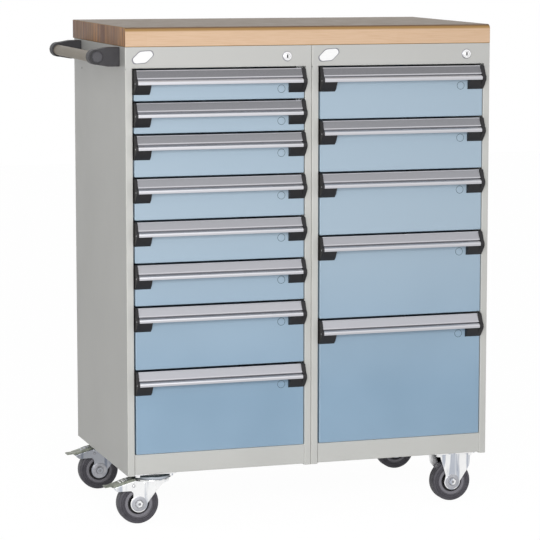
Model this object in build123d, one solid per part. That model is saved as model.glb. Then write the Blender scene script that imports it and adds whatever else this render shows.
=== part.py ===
from build123d import *
import math
import os

# Mobile drawer cabinet: two steel drawer housings side by side under one laminated wood worktop,
# on two braked swivel casters and two rigid casters, with a push handle on the left side.
# Lengths are millimetres. While the pieces are drawn, X runs to the right, Y to the back and Z up,
# X = 0 is the seam between the housings, Y = 0 the middle of their depth and Z = 0 the floor.

# Housings
inch = 25.4
bay_width = 18 * inch
housing_depth = 520.0
housing_height = 40 * inch
header_height = 2 * inch
base_height = 2 * inch
housing_sheet = 1.5
floor_sheet = 3.0
stile_width = 17.2
stile_return = 12.0
rail_flange = 15.0
front_bend = 2.5
relief_height = 4.0
relief_depth = 2.0
upright_width = 40.0
upright_setback = 20.0

# Worktop
worktop_thickness = 46.0
worktop_overhang = 13.4
worktop_edge = 12.0
worktop_under_edge = 1.5

# Drawer stacks: front heights from the top down, the lowest front of each bay takes the rest
left_fronts = [inch * n for n in (3, 3, 4, 4, 4, 4, 6)]
right_fronts = [inch * n for n in (5, 5, 6, 8)]

# Drawer fronts and trays
front_gap = 2.4
front_side_gap = 3.0
front_proud = 3.0
front_depth = 18.0
front_sheet = 1.5
front_lip = 14.0
tray_sheet = 1.2
tray_length = 480.0
tray_rise = 8.0
tray_headroom = 16.0
tray_hem = 8.0

# Telescopic slides: cabinet member, middle member and drawer member nest in each other
slide_thickness = 12.7
slide_height = 45.0
slide_length = 480.0
slide_sheet = 1.2
race_gap = 0.4
member_gap = 0.8
lip_setback = 1.6

# Pulls: a full-width extrusion between two moulded end caps
pull_cap_width = 6.5
pull_wall = 1.6
pull_lug_length = 40.0

# Locks: the cam's pin lowers a bar whose fingers stop the catches on the trays
lock_inset = 62.0
lock_flange_radius = 10.5
lock_flange_thickness = 2.5
lock_barrel_radius = 9.0
lock_barrel_length = 22.0
lock_plug_radius = 6.5
lock_key_width = 2.0
lock_key_height = 8.0
lock_key_depth = 6.0
running_fit = 0.05
cam_radius = 10.0
cam_half_turn = 45.0
cam_thickness = 3.0
cam_width = 9.0
cam_pin_radius = 2.5
cam_pin_length = 6.0
cam_slot_play = 0.7
bar_sheet = 3.0
bar_width = 20.0
bar_start = 6.0
bar_gap = 0.3
bar_floor_gap = 28.0
tongue_sheet = 2.0
tongue_half_height = 7.0
finger_width = 8.0
finger_height = 6.0
finger_lift = 10.0
finger_gap = 2.0
finger_tip_gap = 1.2
catch_length = 6.0
catch_height = 6.0
catch_reach = 8.7
catch_rise = 1.0
window_play = 1.0

# Push handle
handle_reach = 59.0
handle_drop = 26.5
handle_setback = 51.0
handle_base_height = 45.0
handle_bracket_width = 30.0
handle_shoulder = 28.0
handle_eye_radius = 16.0
handle_bar_radius = 12.7
handle_plug_radius = 14.0
handle_plug_length = 3.5

# Casters
caster_height = 127.0
caster_side_inset = 72.0
caster_end_inset = 60.0
caster_trail = 35.0
plate_length = 105.0
plate_width = 85.0
plate_sheet = 3.0
plate_corner = 5.0
race_radius = 42.0
race_height = 12.0
swivel_gap = 0.4
crown_radius = 38.0
crown_height = 4.6
king_pin_radius = 5.0
wheel_radius = 50.0
wheel_width = 32.0
tread_width = 18.0
tyre_shoulder = 4.0
hub_radius = 9.0
hub_proud = 1.0
fork_gap = 0.3
fork_sheet = 3.0
fork_leg_half = 14.0
fork_boss_radius = 21.0
axle_radius = 5.0
axle_head_radius = 8.5
axle_head_height = 5.0

# Fork legs: (along X, up) from the axle, the top edge of a leg meets the crown or the plate
leg_foot = [(-fork_leg_half, 0), (-fork_leg_half, 27), (-19, 32), (-53, 32), (-57, 35.5), (-24, 50)]
leg_top = (-19.5, 69)
leg_front = [(60, 47), (42, 29), (fork_boss_radius, 0)]
crown_back = -6.0
rigid_leg_back = [(-fork_boss_radius, 0), (-17, 15)]
rigid_leg_top = (-38, 56)
rigid_leg_front = [(47, 48), (38.5, 26), (fork_boss_radius, 0)]

# Brake pedals
pedal_sheet = 2.0
pedal_width = 33.0
pedal_pivot_back = 14.0
pedal_pivot_height = 52.4
pedal_rivet_radius = 2.0
pedal_foot_width = 26.0

# Pedal sections: (along X, up) from the axle
pedal_skin = [(-68, 43), (-67, 49), (-27, 65.2), (-20, 64), (-8, 57), (-8, 50.6), (-20, 49.4), (-34, 46)]
pedal_hollow = [(-70, 40), (-70, 45.6), (-26.2, 63.3), (-20.5, 62), (-10, 55.8), (-8, 48), (-20, 47), (-34, 42)]
pedal_tab = [(-86, 41.5), (-85.2, 43.8), (-67, 49), (-64, 50.2), (-64, 48), (-67, 46.6)]
brake_shoe = [(-44, 38.5), (-36, 41), (-36, 61), (-44, 58)]

os.makedirs("parts", exist_ok=True)

# Places worked out from the sizes
half_width = bay_width
front_y = -housing_depth / 2
back_y = housing_depth / 2
housing_bottom = caster_height
housing_top = caster_height + housing_height
opening_top = housing_top - header_height
opening_bottom = housing_bottom + base_height
opening_width = bay_width - 2 * stile_width
tray_width = opening_width - 2 * slide_thickness
tray_front = front_y - front_proud + front_depth
panel_front = front_y - front_proud
front_width = opening_width - 2 * front_side_gap
slide_start = front_y + upright_setback
front_upright = (slide_start, slide_start + upright_width)
rear_upright = (back_y - upright_setback - upright_width, back_y - upright_setback)

# Pull section: each point is (out from the drawer front, down from its top edge)
pull_section = [
    (0, 1.6), (5, 1.6), (16.6, 21.6), (11.5, 22.4), (11.5, 26.2), (18.4, 26.2), (22.4, 29), (23.2, 31.4),
    (22.8, 36.5), (19.8, 36.5), (20.2, 31.6), (17.8, 28.2), (9.7, 28.2), (9.7, 20.6), (13.6, 20.6),
    (3.9, 3.6), (pull_wall, 3.6), (pull_wall, 30), (0, 30),
]
pull_cap_section = [
    (0, 0), (9, 2.5), (17.4, 21.5), (23, 26.5), (24, 31), (23.5, 35), (21.6, 38.2), (10.5, 50),
    (1.2, 58), (0, 58),
]
pull_lug_section = [(1.8, 37), (19.4, 37), (10.5, 50), (1.2, 58), (0, 58), (0, 37)]
pull_reach = max(out for out, down in pull_cap_section)

# The finished part stands with its origin under the middle of its bounding box
origin_shift = Pos(
    (handle_reach + handle_eye_radius) / 2,
    (front_proud + pull_reach - worktop_overhang) / 2,
    0,
)


def save(node, *pieces):
    """Write the solids of one named sub-part."""
    solids = [origin_shift * solid for piece in pieces for solid in piece.solids()]
    export_step(Compound(solids), f"parts/{node}.step")


def block(x, y, z):
    """A box from its low and high limits along X, Y and Z."""
    size = [high - low for low, high in (x, y, z)]
    return Pos(x[0], y[0], z[0]) * Box(*size, align=(Align.MIN,) * 3)


def outline(points):
    """A closed face through the points."""
    return make_face(Polyline(*points, close=True))


def along_x(face, low, high):
    """Extrude a face drawn in (Y, Z) from X = low to X = high."""
    return extrude(Plane.YZ.offset(low) * face, high - low)


def along_y(face, low, high):
    """Extrude a face drawn in (X, Z) from Y = low to Y = high."""
    return extrude(Plane.XZ.offset(-high) * face, high - low)


def along_z(face, low, high):
    """Extrude a face drawn in (X, Y) from Z = low to Z = high."""
    return extrude(Plane.XY.offset(low) * face, high - low)


def disc_y(x, z, radius, low, high):
    """A round bar along Y."""
    return along_y(Pos(x, z) * Circle(radius), low, high)


def stack(fronts):
    """Bottom and top of each drawer's share of the opening, from the top drawer down."""
    rest = opening_top - opening_bottom - sum(fronts)
    shares, top = [], opening_top
    for height in fronts + [rest]:
        shares.append((top - height, top))
        top -= height
    return shares


bays = {
    "left": (-bay_width, stack(left_fronts)),
    "right": (0.0, stack(right_fronts)),
}
lock_z = housing_top - header_height / 2
pin_drop = cam_radius * math.sin(math.radians(cam_half_turn))
pin_side = cam_radius * math.cos(math.radians(cam_half_turn))
bar_y = (front_upright[0] + bar_start, front_upright[0] + bar_start + bar_width)
finger_y = (bar_y[1] - finger_width - finger_gap, bar_y[1] - finger_gap)


def catch_z(share):
    """Height of a tray's catch, just over its slide."""
    low = share[0] + tray_rise + slide_height + catch_rise
    return low, low + catch_height


def finger_z(share):
    """Height of the lock bar's finger for a drawer while the lock is open."""
    low = catch_z(share)[1] + finger_lift
    return low, low + finger_height


def upright(edge, outer, y):
    """A folded channel that carries the slides, from the side sheet to the edge of the opening."""
    inward = 1 if edge > outer else -1
    x_all = tuple(sorted((outer, edge)))
    x_hollow = tuple(sorted((outer, edge - inward * housing_sheet)))
    z = (housing_bottom + floor_sheet, housing_top - housing_sheet)
    y_hollow = (y[0] + housing_sheet, y[1] - housing_sheet)
    return block(x_all, y, z) - block(x_hollow, y_hollow, z)


def make_housing(left_x, shares):
    """One welded housing: shell, folded front frame and the four uprights inside."""
    right_x = left_x + bay_width
    open_left, open_right = left_x + stile_width, right_x - stile_width
    outside = block((left_x, right_x), (front_y, back_y), (housing_bottom, housing_top))
    corners = outside.edges().filter_by(Axis.Z).group_by(Axis.Y)[0]
    shell = fillet(corners, front_bend)
    shell -= block(
        (left_x + housing_sheet, right_x - housing_sheet),
        (front_y + housing_sheet, back_y - housing_sheet),
        (housing_bottom + floor_sheet, housing_top - housing_sheet),
    )
    shell -= block(
        (open_left, open_right), (front_y, front_y + housing_sheet), (opening_bottom, opening_top)
    )
    inner_y = (front_y + housing_sheet, front_y + stile_return)
    for low in (open_left - housing_sheet, open_right):
        shell += block((low, low + housing_sheet), inner_y, (opening_bottom, opening_top))
    rail_y = (front_y + housing_sheet, front_y + rail_flange)
    for low in (opening_bottom - housing_sheet, opening_top):
        shell += block(
            (left_x + housing_sheet, right_x - housing_sheet), rail_y, (low, low + housing_sheet)
        )
    for y in (front_upright, rear_upright):
        shell += upright(open_left, left_x + housing_sheet, y)
        shell += upright(open_right, right_x - housing_sheet, y)
    relief_z = (opening_top - relief_height, opening_top)
    for low in (left_x, right_x - relief_depth):
        shell -= block((low, low + relief_depth), (front_y, front_y + relief_depth), relief_z)
    shell -= disc_y(right_x - lock_inset, lock_z, lock_barrel_radius, front_y, front_y + housing_sheet)
    web = (open_right, open_right + housing_sheet)
    for share in shares:
        low = finger_z(share)[0] - 2 * pin_drop - window_play
        window_z = (low, finger_z(share)[1] + window_play)
        window_y = (finger_y[0] - window_play, finger_y[1] + window_play)
        shell -= block(web, window_y, window_z)
    half_slot = pin_drop + tongue_half_height + window_play
    tongue_y = (bar_y[0], bar_y[0] + tongue_sheet + 2 * window_play)
    shell -= block(web, tongue_y, (lock_z - half_slot, lock_z + half_slot))
    return shell


def channel(web, tip, half_height, z):
    """A slide member: a web and two flanges, open towards its tip."""
    step = math.copysign(slide_sheet, tip - web)
    section = outline([
        (web, z - half_height), (tip, z - half_height), (tip, z - half_height + slide_sheet),
        (web + step, z - half_height + slide_sheet), (web + step, z + half_height - slide_sheet),
        (tip, z + half_height - slide_sheet), (tip, z + half_height), (web, z + half_height),
    ])
    return along_y(section, slide_start, slide_start + slide_length)


def make_slides(left_x, share):
    """Cabinet, middle and drawer members on both sides of one drawer."""
    z = share[0] + tray_rise + slide_height / 2
    inner = slide_sheet + race_gap
    cabinet, middle, drawer = [], [], []
    for edge, inward in ((left_x + stile_width, 1), (left_x + bay_width - stile_width, -1)):
        def at(depth):
            return edge + inward * depth
        outer_tip = slide_thickness - 2 * lip_setback
        middle_web = slide_sheet + member_gap
        middle_tip = slide_thickness - lip_setback
        drawer_tip = middle_web + slide_sheet + member_gap
        cabinet.append(channel(at(0), at(outer_tip), slide_height / 2, z))
        middle.append(channel(at(middle_web), at(middle_tip), slide_height / 2 - inner, z))
        drawer.append(channel(at(slide_thickness), at(drawer_tip), slide_height / 2 - 2 * inner, z))
    return cabinet, middle, drawer


def make_drawer(left_x, share):
    """A folded tray, its boxed front and the catch that the lock bar stops."""
    middle_x = left_x + bay_width / 2
    tray_x = (middle_x - tray_width / 2, middle_x + tray_width / 2)
    tray_y = (tray_front, tray_front + tray_length)
    tray_z = (share[0] + tray_rise, share[1] - tray_headroom)

    def inset(limits, amount):
        return limits[0] + amount, limits[1] - amount

    tray = block(tray_x, tray_y, tray_z)
    under_hem = (tray_z[0] + tray_sheet, tray_z[1] - tray_sheet)
    tray -= block(inset(tray_x, tray_sheet), inset(tray_y, tray_sheet), under_hem)
    mouth_z = (tray_z[0] + tray_sheet, tray_z[1])
    tray -= block(inset(tray_x, tray_hem), inset(tray_y, tray_sheet), mouth_z)

    front_x = (middle_x - front_width / 2, middle_x + front_width / 2)
    front_z = (share[0] + front_gap / 2, share[1] - front_gap / 2)
    boxed_y = (panel_front, tray_front)
    front = block(front_x, boxed_y, front_z)
    front -= block(inset(front_x, front_sheet), inset(boxed_y, front_sheet), inset(front_z, front_sheet))
    lip_y = (tray_front - front_sheet, tray_front)
    front -= block(inset(front_x, front_lip), lip_y, inset(front_z, front_lip))

    catch_y = (finger_y[1] + finger_gap, finger_y[1] + finger_gap + catch_length)
    catch = block((tray_x[1], tray_x[1] + catch_reach), catch_y, catch_z(share))
    return tray, front, catch


def make_pull(left_x, share):
    """The extruded pull, with an end cap at each end that carries a lug under the lip."""
    middle_x = left_x + bay_width / 2
    top = share[1] - front_gap / 2

    def section(points):
        return outline([(panel_front - out, top - down) for out, down in points])

    end = front_width / 2 - pull_cap_width
    rail = along_x(section(pull_section), middle_x - end, middle_x + end)
    caps = []
    for side in (-1, 1):
        tip, root = middle_x + side * front_width / 2, middle_x + side * end
        inner = middle_x + side * (front_width / 2 - pull_lug_length)
        cap = along_x(section(pull_cap_section), min(tip, root), max(tip, root))
        cap += along_x(section(pull_lug_section), min(root, inner), max(root, inner))
        caps.append(cap)
    return rail, caps


def make_lock(left_x):
    """The fixed barrel in the header, and the turning plug with its cam and pin."""
    x = left_x + bay_width - lock_inset
    face_y = front_y - lock_flange_thickness
    barrel_end = front_y + lock_barrel_length
    barrel = disc_y(x, lock_z, lock_flange_radius, face_y, front_y)
    barrel += disc_y(x, lock_z, lock_barrel_radius, front_y, barrel_end)
    barrel -= disc_y(x, lock_z, lock_plug_radius + running_fit, face_y, barrel_end)

    cam_y = (barrel_end + running_fit, barrel_end + running_fit + cam_thickness)
    plug = disc_y(x, lock_z, lock_plug_radius, face_y, cam_y[0])
    slot = ((x - lock_key_width / 2, x + lock_key_width / 2), (face_y, face_y + lock_key_depth))
    plug -= block(*slot, (lock_z - lock_key_height / 2, lock_z + lock_key_height / 2))
    arm = Rectangle(cam_radius + cam_width, cam_width)
    plug += along_y(Pos(x, lock_z) * Rot(0, 0, cam_half_turn) * Pos(cam_radius / 2, 0) * arm, *cam_y)
    plug += disc_y(x + pin_side, lock_z + pin_drop, cam_pin_radius, cam_y[1], cam_y[1] + cam_pin_length)
    return barrel, plug


def make_lock_bar(left_x, shares):
    """The bar inside the right front upright, with a tongue for the cam's pin and one finger per drawer."""
    lock_x = left_x + bay_width - lock_inset
    edge = left_x + bay_width - stile_width
    bar_x = (edge + housing_sheet + bar_gap, edge + housing_sheet + bar_gap + bar_sheet)
    tongue_z = lock_z + pin_drop
    top = tongue_z + tongue_half_height
    bar = block(bar_x, bar_y, (housing_bottom + bar_floor_gap, top))
    tongue_y = (bar_y[0] + window_play, bar_y[0] + window_play + tongue_sheet)
    bar += block((lock_x, bar_x[1]), tongue_y, (tongue_z - tongue_half_height, top))
    reach = cam_pin_radius + cam_slot_play
    slot_x = (lock_x + pin_side - reach, lock_x + cam_radius + reach)
    bar -= block(slot_x, tongue_y, (tongue_z - reach, tongue_z + reach))
    for share in shares:
        tip = edge - slide_thickness + finger_tip_gap
        bar += block((tip, bar_x[0]), finger_y, finger_z(share))
    return bar


def make_worktop():
    """The worktop: its front edge is rolled, it is flush in front and at the sides, and proud behind."""
    depth = housing_depth + worktop_overhang
    section = Rectangle(depth, worktop_thickness)
    front_corner = section.vertices().group_by(Axis.X)[0].sort_by(Axis.Y)[-1]
    section = Pos(front_y + depth / 2, housing_top + worktop_thickness / 2) * fillet(front_corner, worktop_edge)
    slab = along_x(section, -half_width, half_width)
    return chamfer(slab.faces().sort_by(Axis.Z)[0].edges(), worktop_under_edge)


def make_handle():
    """The push bar and its two moulded brackets on the left side, with plugs in the bar's ends."""
    x, z = -half_width - handle_reach, housing_top - handle_drop
    ends = (front_y + handle_setback, back_y - handle_setback)
    bar = disc_y(x, z, handle_bar_radius, *ends)
    half = handle_base_height / 2
    arm = outline([
        (-half_width, z - half), (-half_width, z + half), (-half_width - handle_shoulder, z + half),
        (x, z + handle_eye_radius), (x, z - handle_eye_radius), (-half_width - handle_shoulder, z - half),
    ])
    arm += Pos(x, z) * Circle(handle_eye_radius)
    arm -= Pos(x, z) * Circle(handle_bar_radius)
    brackets = []
    for low in (ends[0], ends[1] - handle_bracket_width):
        brackets.append(along_y(arm, low, low + handle_bracket_width))
    plugs = [
        disc_y(x, z, handle_plug_radius, ends[0] - handle_plug_length, ends[0]),
        disc_y(x, z, handle_plug_radius, ends[1], ends[1] + handle_plug_length),
    ]
    return bar, brackets + plugs


def make_plate(x, y):
    """A caster's top plate."""
    face = chamfer(Rectangle(plate_length, plate_width).vertices(), plate_corner)
    return along_z(Pos(x, y) * face, housing_bottom - plate_sheet, housing_bottom)


def make_swivel_plate(x, y):
    """A top plate with the pressed race that the fork turns in."""
    race_z = (housing_bottom - plate_sheet - race_height, housing_bottom - plate_sheet)
    race = along_z(Pos(x, y) * Circle(race_radius), *race_z)
    bore = along_z(Pos(x, y) * Circle(king_pin_radius + running_fit), race_z[0], housing_bottom)
    return make_plate(x, y) + race - bore


def make_axle(x, y):
    """An axle bolt through both fork legs, with its head in front and its nut behind."""
    half = wheel_width / 2 + hub_proud + fork_gap + fork_sheet
    axle = disc_y(x, wheel_radius, axle_radius, y - half, y + half)
    for low in (y - half - axle_head_height, y + half):
        head = Pos(x, wheel_radius) * RegularPolygon(axle_head_radius, 6)
        axle += along_y(head, low, low + axle_head_height)
    return axle


def fork_legs(outline_face, y):
    """Two pressed legs, one each side of the wheel."""
    inner = wheel_width / 2 + hub_proud + fork_gap
    legs = []
    for low in (y - inner - fork_sheet, y + inner):
        legs.append(along_y(outline_face, low, low + fork_sheet))
    return legs


def fork_crown(x_low, x_high, y, top):
    """The bent sheet that joins the two legs over the wheel."""
    half = wheel_width / 2 + hub_proud + fork_gap + fork_sheet
    return block((x_low, x_high), (y - half, y + half), (top - fork_sheet, top))


def make_swivel_fork(x, y):
    """The turning fork: king pin, crown, and legs that lean to the trailing axle and carry the pedal."""
    axle_x, axle_z = x - caster_trail, wheel_radius
    race_bottom = housing_bottom - plate_sheet - race_height
    crown_top = race_bottom - swivel_gap
    deck = crown_top - crown_height
    points = leg_foot + [(u, deck - axle_z) for u in leg_top] + leg_front
    leg = outline([(axle_x + u, axle_z + v) for u, v in points])
    leg += Pos(axle_x, axle_z) * Circle(fork_boss_radius)
    rivet = Pos(axle_x - pedal_pivot_back, axle_z + pedal_pivot_height) * Circle(pedal_rivet_radius)
    leg -= rivet
    left, right = fork_legs(leg, y)
    fork = left + right + fork_crown(axle_x + crown_back, axle_x + leg_top[1], y, deck)
    fork += make_axle(axle_x, y)
    fork += along_z(Pos(x, y) * Circle(crown_radius), deck, crown_top)
    fork += along_z(Pos(x, y) * Circle(king_pin_radius), crown_top, housing_bottom)
    return fork


def make_pedal(x, y):
    """The brake pedal: a folded channel on a rivet between the legs, with a foot tab and a brake shoe."""
    axle_x, axle_z = x - caster_trail, wheel_radius

    def side(points):
        return outline([(axle_x + u, axle_z + v) for u, v in points])

    half = pedal_width / 2
    pedal = along_y(side(pedal_skin), y - half, y + half)
    pedal -= along_y(side(pedal_hollow), y - half + pedal_sheet, y + half - pedal_sheet)
    pedal += along_y(side(pedal_tab), y - pedal_foot_width / 2, y + pedal_foot_width / 2)
    pedal += along_y(side(brake_shoe), y - half + pedal_sheet, y + half - pedal_sheet)
    rivet_x, rivet_z = axle_x - pedal_pivot_back, axle_z + pedal_pivot_height
    end = wheel_width / 2 + hub_proud + fork_gap + fork_sheet
    pedal += disc_y(rivet_x, rivet_z, pedal_rivet_radius - running_fit, y - end, y + end)
    return pedal


def make_rigid_fork(x, y):
    """The fixed fork: top plate, crown and two tapered legs over the axle."""
    axle_z = wheel_radius
    top = housing_bottom - plate_sheet
    points = rigid_leg_back + [(u, top - axle_z) for u in rigid_leg_top] + rigid_leg_front
    leg = outline([(x + u, axle_z + v) for u, v in points])
    leg += Pos(x, axle_z) * Circle(fork_boss_radius)
    left, right = fork_legs(leg, y)
    return make_plate(x, y) + left + right + make_axle(x, y)


def make_wheel(x, y):
    """A wheel: the tyre with its bevelled shoulders, and the hub's ends standing proud of its sides."""
    half = wheel_width / 2
    hub = half + hub_proud
    shoulder = wheel_radius - tyre_shoulder
    bore = axle_radius + running_fit
    section = outline([
        (-hub, bore), (-hub, hub_radius), (-half, hub_radius), (-half, shoulder),
        (-tread_width / 2, wheel_radius), (tread_width / 2, wheel_radius),
        (half, shoulder), (half, hub_radius), (hub, hub_radius), (hub, bore),
    ])
    placed = Plane.YZ.offset(x) * Pos(y, wheel_radius) * section
    return revolve(placed, Axis((x, y, wheel_radius), (0, 1, 0)))


cabinet_members = []
lock_barrels = []
for bay, (left_x, shares) in bays.items():
    save(f"{bay}_housing", make_housing(left_x, shares))
    for number, share in enumerate(shares, 1):
        cabinet, middle, drawer = make_slides(left_x, share)
        cabinet_members += cabinet
        save(f"{bay}_slide_middle_{number}", *middle)
        save(f"{bay}_drawer_{number}", *make_drawer(left_x, share), *drawer)
        rail, caps = make_pull(left_x, share)
        save(f"{bay}_pull_{number}", rail, *caps)
    barrel, plug = make_lock(left_x)
    lock_barrels.append(barrel)
    save(f"{bay}_lock_plug", plug)
    save(f"{bay}_lock_bar", make_lock_bar(left_x, shares))
save("cabinet_slide_members", *cabinet_members)
save("lock_barrels", *lock_barrels)
save("worktop", make_worktop())
push_bar, handle_brackets = make_handle()
save("push_bar", push_bar)
save("push_bar_brackets", *handle_brackets)

left_x, right_x = -half_width + caster_side_inset, half_width - caster_side_inset
ends = {"front": front_y + caster_end_inset, "rear": back_y - caster_end_inset}
save("swivel_plates", *[make_swivel_plate(left_x, y) for y in ends.values()])
rigid_forks = []
for end, y in ends.items():
    axle_x = left_x - caster_trail
    save(f"{end}_swivel_fork", make_swivel_fork(left_x, y))
    save(f"{end}_brake_pedal", make_pedal(left_x, y))
    save(f"{end}_left_wheel", make_wheel(axle_x, y))
    rigid_forks.append(make_rigid_fork(right_x, y))
    save(f"{end}_right_wheel", make_wheel(right_x, y))
save("rigid_forks", *rigid_forks)
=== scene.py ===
import logging
import math
from dataclasses import dataclass
from enum import Enum
from functools import cached_property
from typing import Any, Iterable, Sequence

import bmesh
import bpy
from mathutils import Matrix, Vector


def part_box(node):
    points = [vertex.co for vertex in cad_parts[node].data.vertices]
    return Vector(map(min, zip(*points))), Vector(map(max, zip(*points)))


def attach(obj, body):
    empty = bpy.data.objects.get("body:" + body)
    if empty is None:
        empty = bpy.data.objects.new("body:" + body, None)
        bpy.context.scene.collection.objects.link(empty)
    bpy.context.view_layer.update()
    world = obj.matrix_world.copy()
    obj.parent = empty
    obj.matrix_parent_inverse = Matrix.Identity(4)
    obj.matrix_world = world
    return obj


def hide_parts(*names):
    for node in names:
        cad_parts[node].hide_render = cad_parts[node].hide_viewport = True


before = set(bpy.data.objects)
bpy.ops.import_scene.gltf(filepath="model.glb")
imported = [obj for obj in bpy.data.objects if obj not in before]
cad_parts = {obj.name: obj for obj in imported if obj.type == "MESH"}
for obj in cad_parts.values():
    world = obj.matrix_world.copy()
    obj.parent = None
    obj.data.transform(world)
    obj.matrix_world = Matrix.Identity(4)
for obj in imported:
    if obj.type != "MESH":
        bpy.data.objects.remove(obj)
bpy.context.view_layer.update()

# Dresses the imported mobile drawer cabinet: its sheet metal, drawers, pulls, locks, worktop, push bar and
# casters, their finishes, the studio and the camera. Sizes of the object are millimetres.

LOG = logging.getLogger("cabinet")
MM = 0.001
INCH = 25.4
Point = Sequence[float]
Outline = list[tuple[float, float]]
Tree, Socket, Vert = bpy.types.NodeTree, bpy.types.NodeSocket, bmesh.types.BMVert


class Way(Enum):
    """The axis along which an outline is drawn out or about which a profile is turned."""

    X = (0, 1, 2)
    Y = (1, 0, 2)
    Z = (1, 2, 0)

    def point(self, *lengths: float) -> tuple[float, ...]:
        """Turn (along the axis, first across, second across) into X, Y and Z."""
        return tuple(lengths[i] for i in self.value)


class Bay(Enum):
    """The two housings, side by side."""

    LEFT = "left"
    RIGHT = "right"


class End(Enum):
    """Front and rear casters."""

    FRONT = "front"
    REAR = "rear"


class Side(Enum):
    """Left casters swivel, right casters are fixed."""

    LEFT = "left"
    RIGHT = "right"


DRAWERS = {Bay.LEFT: 8, Bay.RIGHT: 5}


class Kind(Enum):
    """Kinds of node: type, inputs in the order of use, the output that is used, and settings."""

    PLACE = ("ShaderNodeTexCoord", (), "Object")
    NORMAL = ("ShaderNodeNewGeometry", (), "Normal")
    CAMERA_RAY = ("ShaderNodeLightPath", (), "Is Camera Ray")
    CLEAR_RAY = ("ShaderNodeLightPath", (), "Is Transmission Ray")
    GLOSSY_RAY = ("ShaderNodeLightPath", (), "Is Glossy Ray")
    PART_X = ("ShaderNodeSeparateXYZ", (0,), 0)
    PART_Y = ("ShaderNodeSeparateXYZ", (0,), 1)
    PART_Z = ("ShaderNodeSeparateXYZ", (0,), 2)
    VECTOR = ("ShaderNodeCombineXYZ", (0, 1, 2))
    STRETCH = ("ShaderNodeMapping", ("Vector", "Scale"))
    NOISE = ("ShaderNodeTexNoise", ("Vector", "Scale", "Detail", "Distortion"))
    CHANCE = ("ShaderNodeTexWhiteNoise", ("W",), 0, {"noise_dimensions": "1D"})
    RANGE = ("ShaderNodeMapRange", (0, 1, 2, 3, 4))
    SMOOTH = ("ShaderNodeMapRange", (0, 1, 2), 0, {"interpolation_type": "SMOOTHSTEP"})
    MIX = ("ShaderNodeMix", (0, 6, 7), 2, {"data_type": "RGBA"})
    TINT = ("ShaderNodeMix", (0, 6, 7), 2, {"data_type": "RGBA", "blend_type": "MULTIPLY"})
    BUMP = ("ShaderNodeBump", ("Height", "Distance"))
    GLOW = ("ShaderNodeEmission", ("Color", "Strength"))
    BLEND = ("ShaderNodeMixShader", (0, 1, 2))
    PLUS = ("ShaderNodeMath", (0, 1), 0, {"operation": "ADD"})
    MINUS = ("ShaderNodeMath", (0, 1), 0, {"operation": "SUBTRACT"})
    TIMES = ("ShaderNodeMath", (0, 1), 0, {"operation": "MULTIPLY"})
    OVER = ("ShaderNodeMath", (0, 1), 0, {"operation": "DIVIDE"})
    TIMES_PLUS = ("ShaderNodeMath", (0, 1, 2), 0, {"operation": "MULTIPLY_ADD"})
    GREATER = ("ShaderNodeMath", (0, 1), 0, {"operation": "MAXIMUM"})
    FLOOR = ("ShaderNodeMath", (0,), 0, {"operation": "FLOOR"})
    SINE = ("ShaderNodeMath", (0,), 0, {"operation": "SINE"})
    SIZE = ("ShaderNodeMath", (0,), 0, {"operation": "ABSOLUTE"})
    RECTANGLE = ("GeometryNodeCurvePrimitiveQuadrilateral", (0, 1))
    LINE = ("GeometryNodeMeshLine", ("Count", "Offset", "Start Location"))
    GRID = ("GeometryNodeMeshGrid", ("Size X", "Size Y", "Vertices X", "Vertices Y"))
    CIRCLE = ("GeometryNodeMeshCircle", ("Vertices", "Radius"))
    CONE = ("GeometryNodeMeshCone", ("Vertices", "Radius Bottom", "Radius Top", "Depth"))
    BOX = ("GeometryNodeMeshCube", ("Size",))
    POSITION = ("GeometryNodeInputPosition", ())
    AIM = ("FunctionNodeAlignRotationToVector", ("Vector",), 0, {"axis": "X", "pivot_axis": "Z"})
    MOVE = ("GeometryNodeTransform", ("Geometry", "Translation"))
    COPIES = ("GeometryNodeInstanceOnPoints", ("Points", "Instance", "Rotation"))
    JOIN = ("GeometryNodeJoinGeometry", (0, 0, 0))
    FILL = ("GeometryNodeFillCurve", (0,))
    THICKEN = ("GeometryNodeExtrudeMesh", ("Mesh", "Offset", "Offset Scale", "Individual"))
    FLIP = ("GeometryNodeFlipFaces", (0,))
    MERGE = ("GeometryNodeMergeByDistance", ("Geometry", "Distance"))
    REALIZE = ("GeometryNodeRealizeInstances", (0,))
    DRESS = ("GeometryNodeSetMaterial", ("Geometry", "Material"))
    RESULT = ("NodeGroupOutput", (0,))

    def __init__(self, node: str, keys: Sequence[int | str], out: int | str = 0,
                 settings: dict[str, str] | None = None) -> None:
        """Name the columns of one row."""
        self.node, self.keys, self.out, self.settings = node, keys, out, settings or {}


# Small tools.


def linear(code: str) -> tuple[float, ...]:
    """Turn an sRGB hex colour into linear RGBA.

    Args:
        code: A colour such as "#C8C8C4".

    Returns:
        Red, green, blue and alpha, linear.
    """
    parts = [int(code[i:i + 2], 16) / 255 for i in (1, 3, 5)]
    return *(c / 12.92 if c <= 0.04045 else ((c + 0.055) / 1.055) ** 2.4 for c in parts), 1.0


def cell(size_mm: float) -> float:
    """Noise scale per metre for a pattern of the given size in millimetres."""
    return 1000.0 / size_mm


def box_mm(node: str) -> tuple[Vector, Vector]:
    """Lowest and highest corner of a CAD node, in millimetres."""
    low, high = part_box(node)
    return low * 1000, high * 1000


def middle_mm(node: str) -> tuple[float, ...]:
    """Middle of a CAD node's box, in millimetres."""
    return tuple((a + b) / 2 for a, b in zip(*box_mm(node)))


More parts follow.
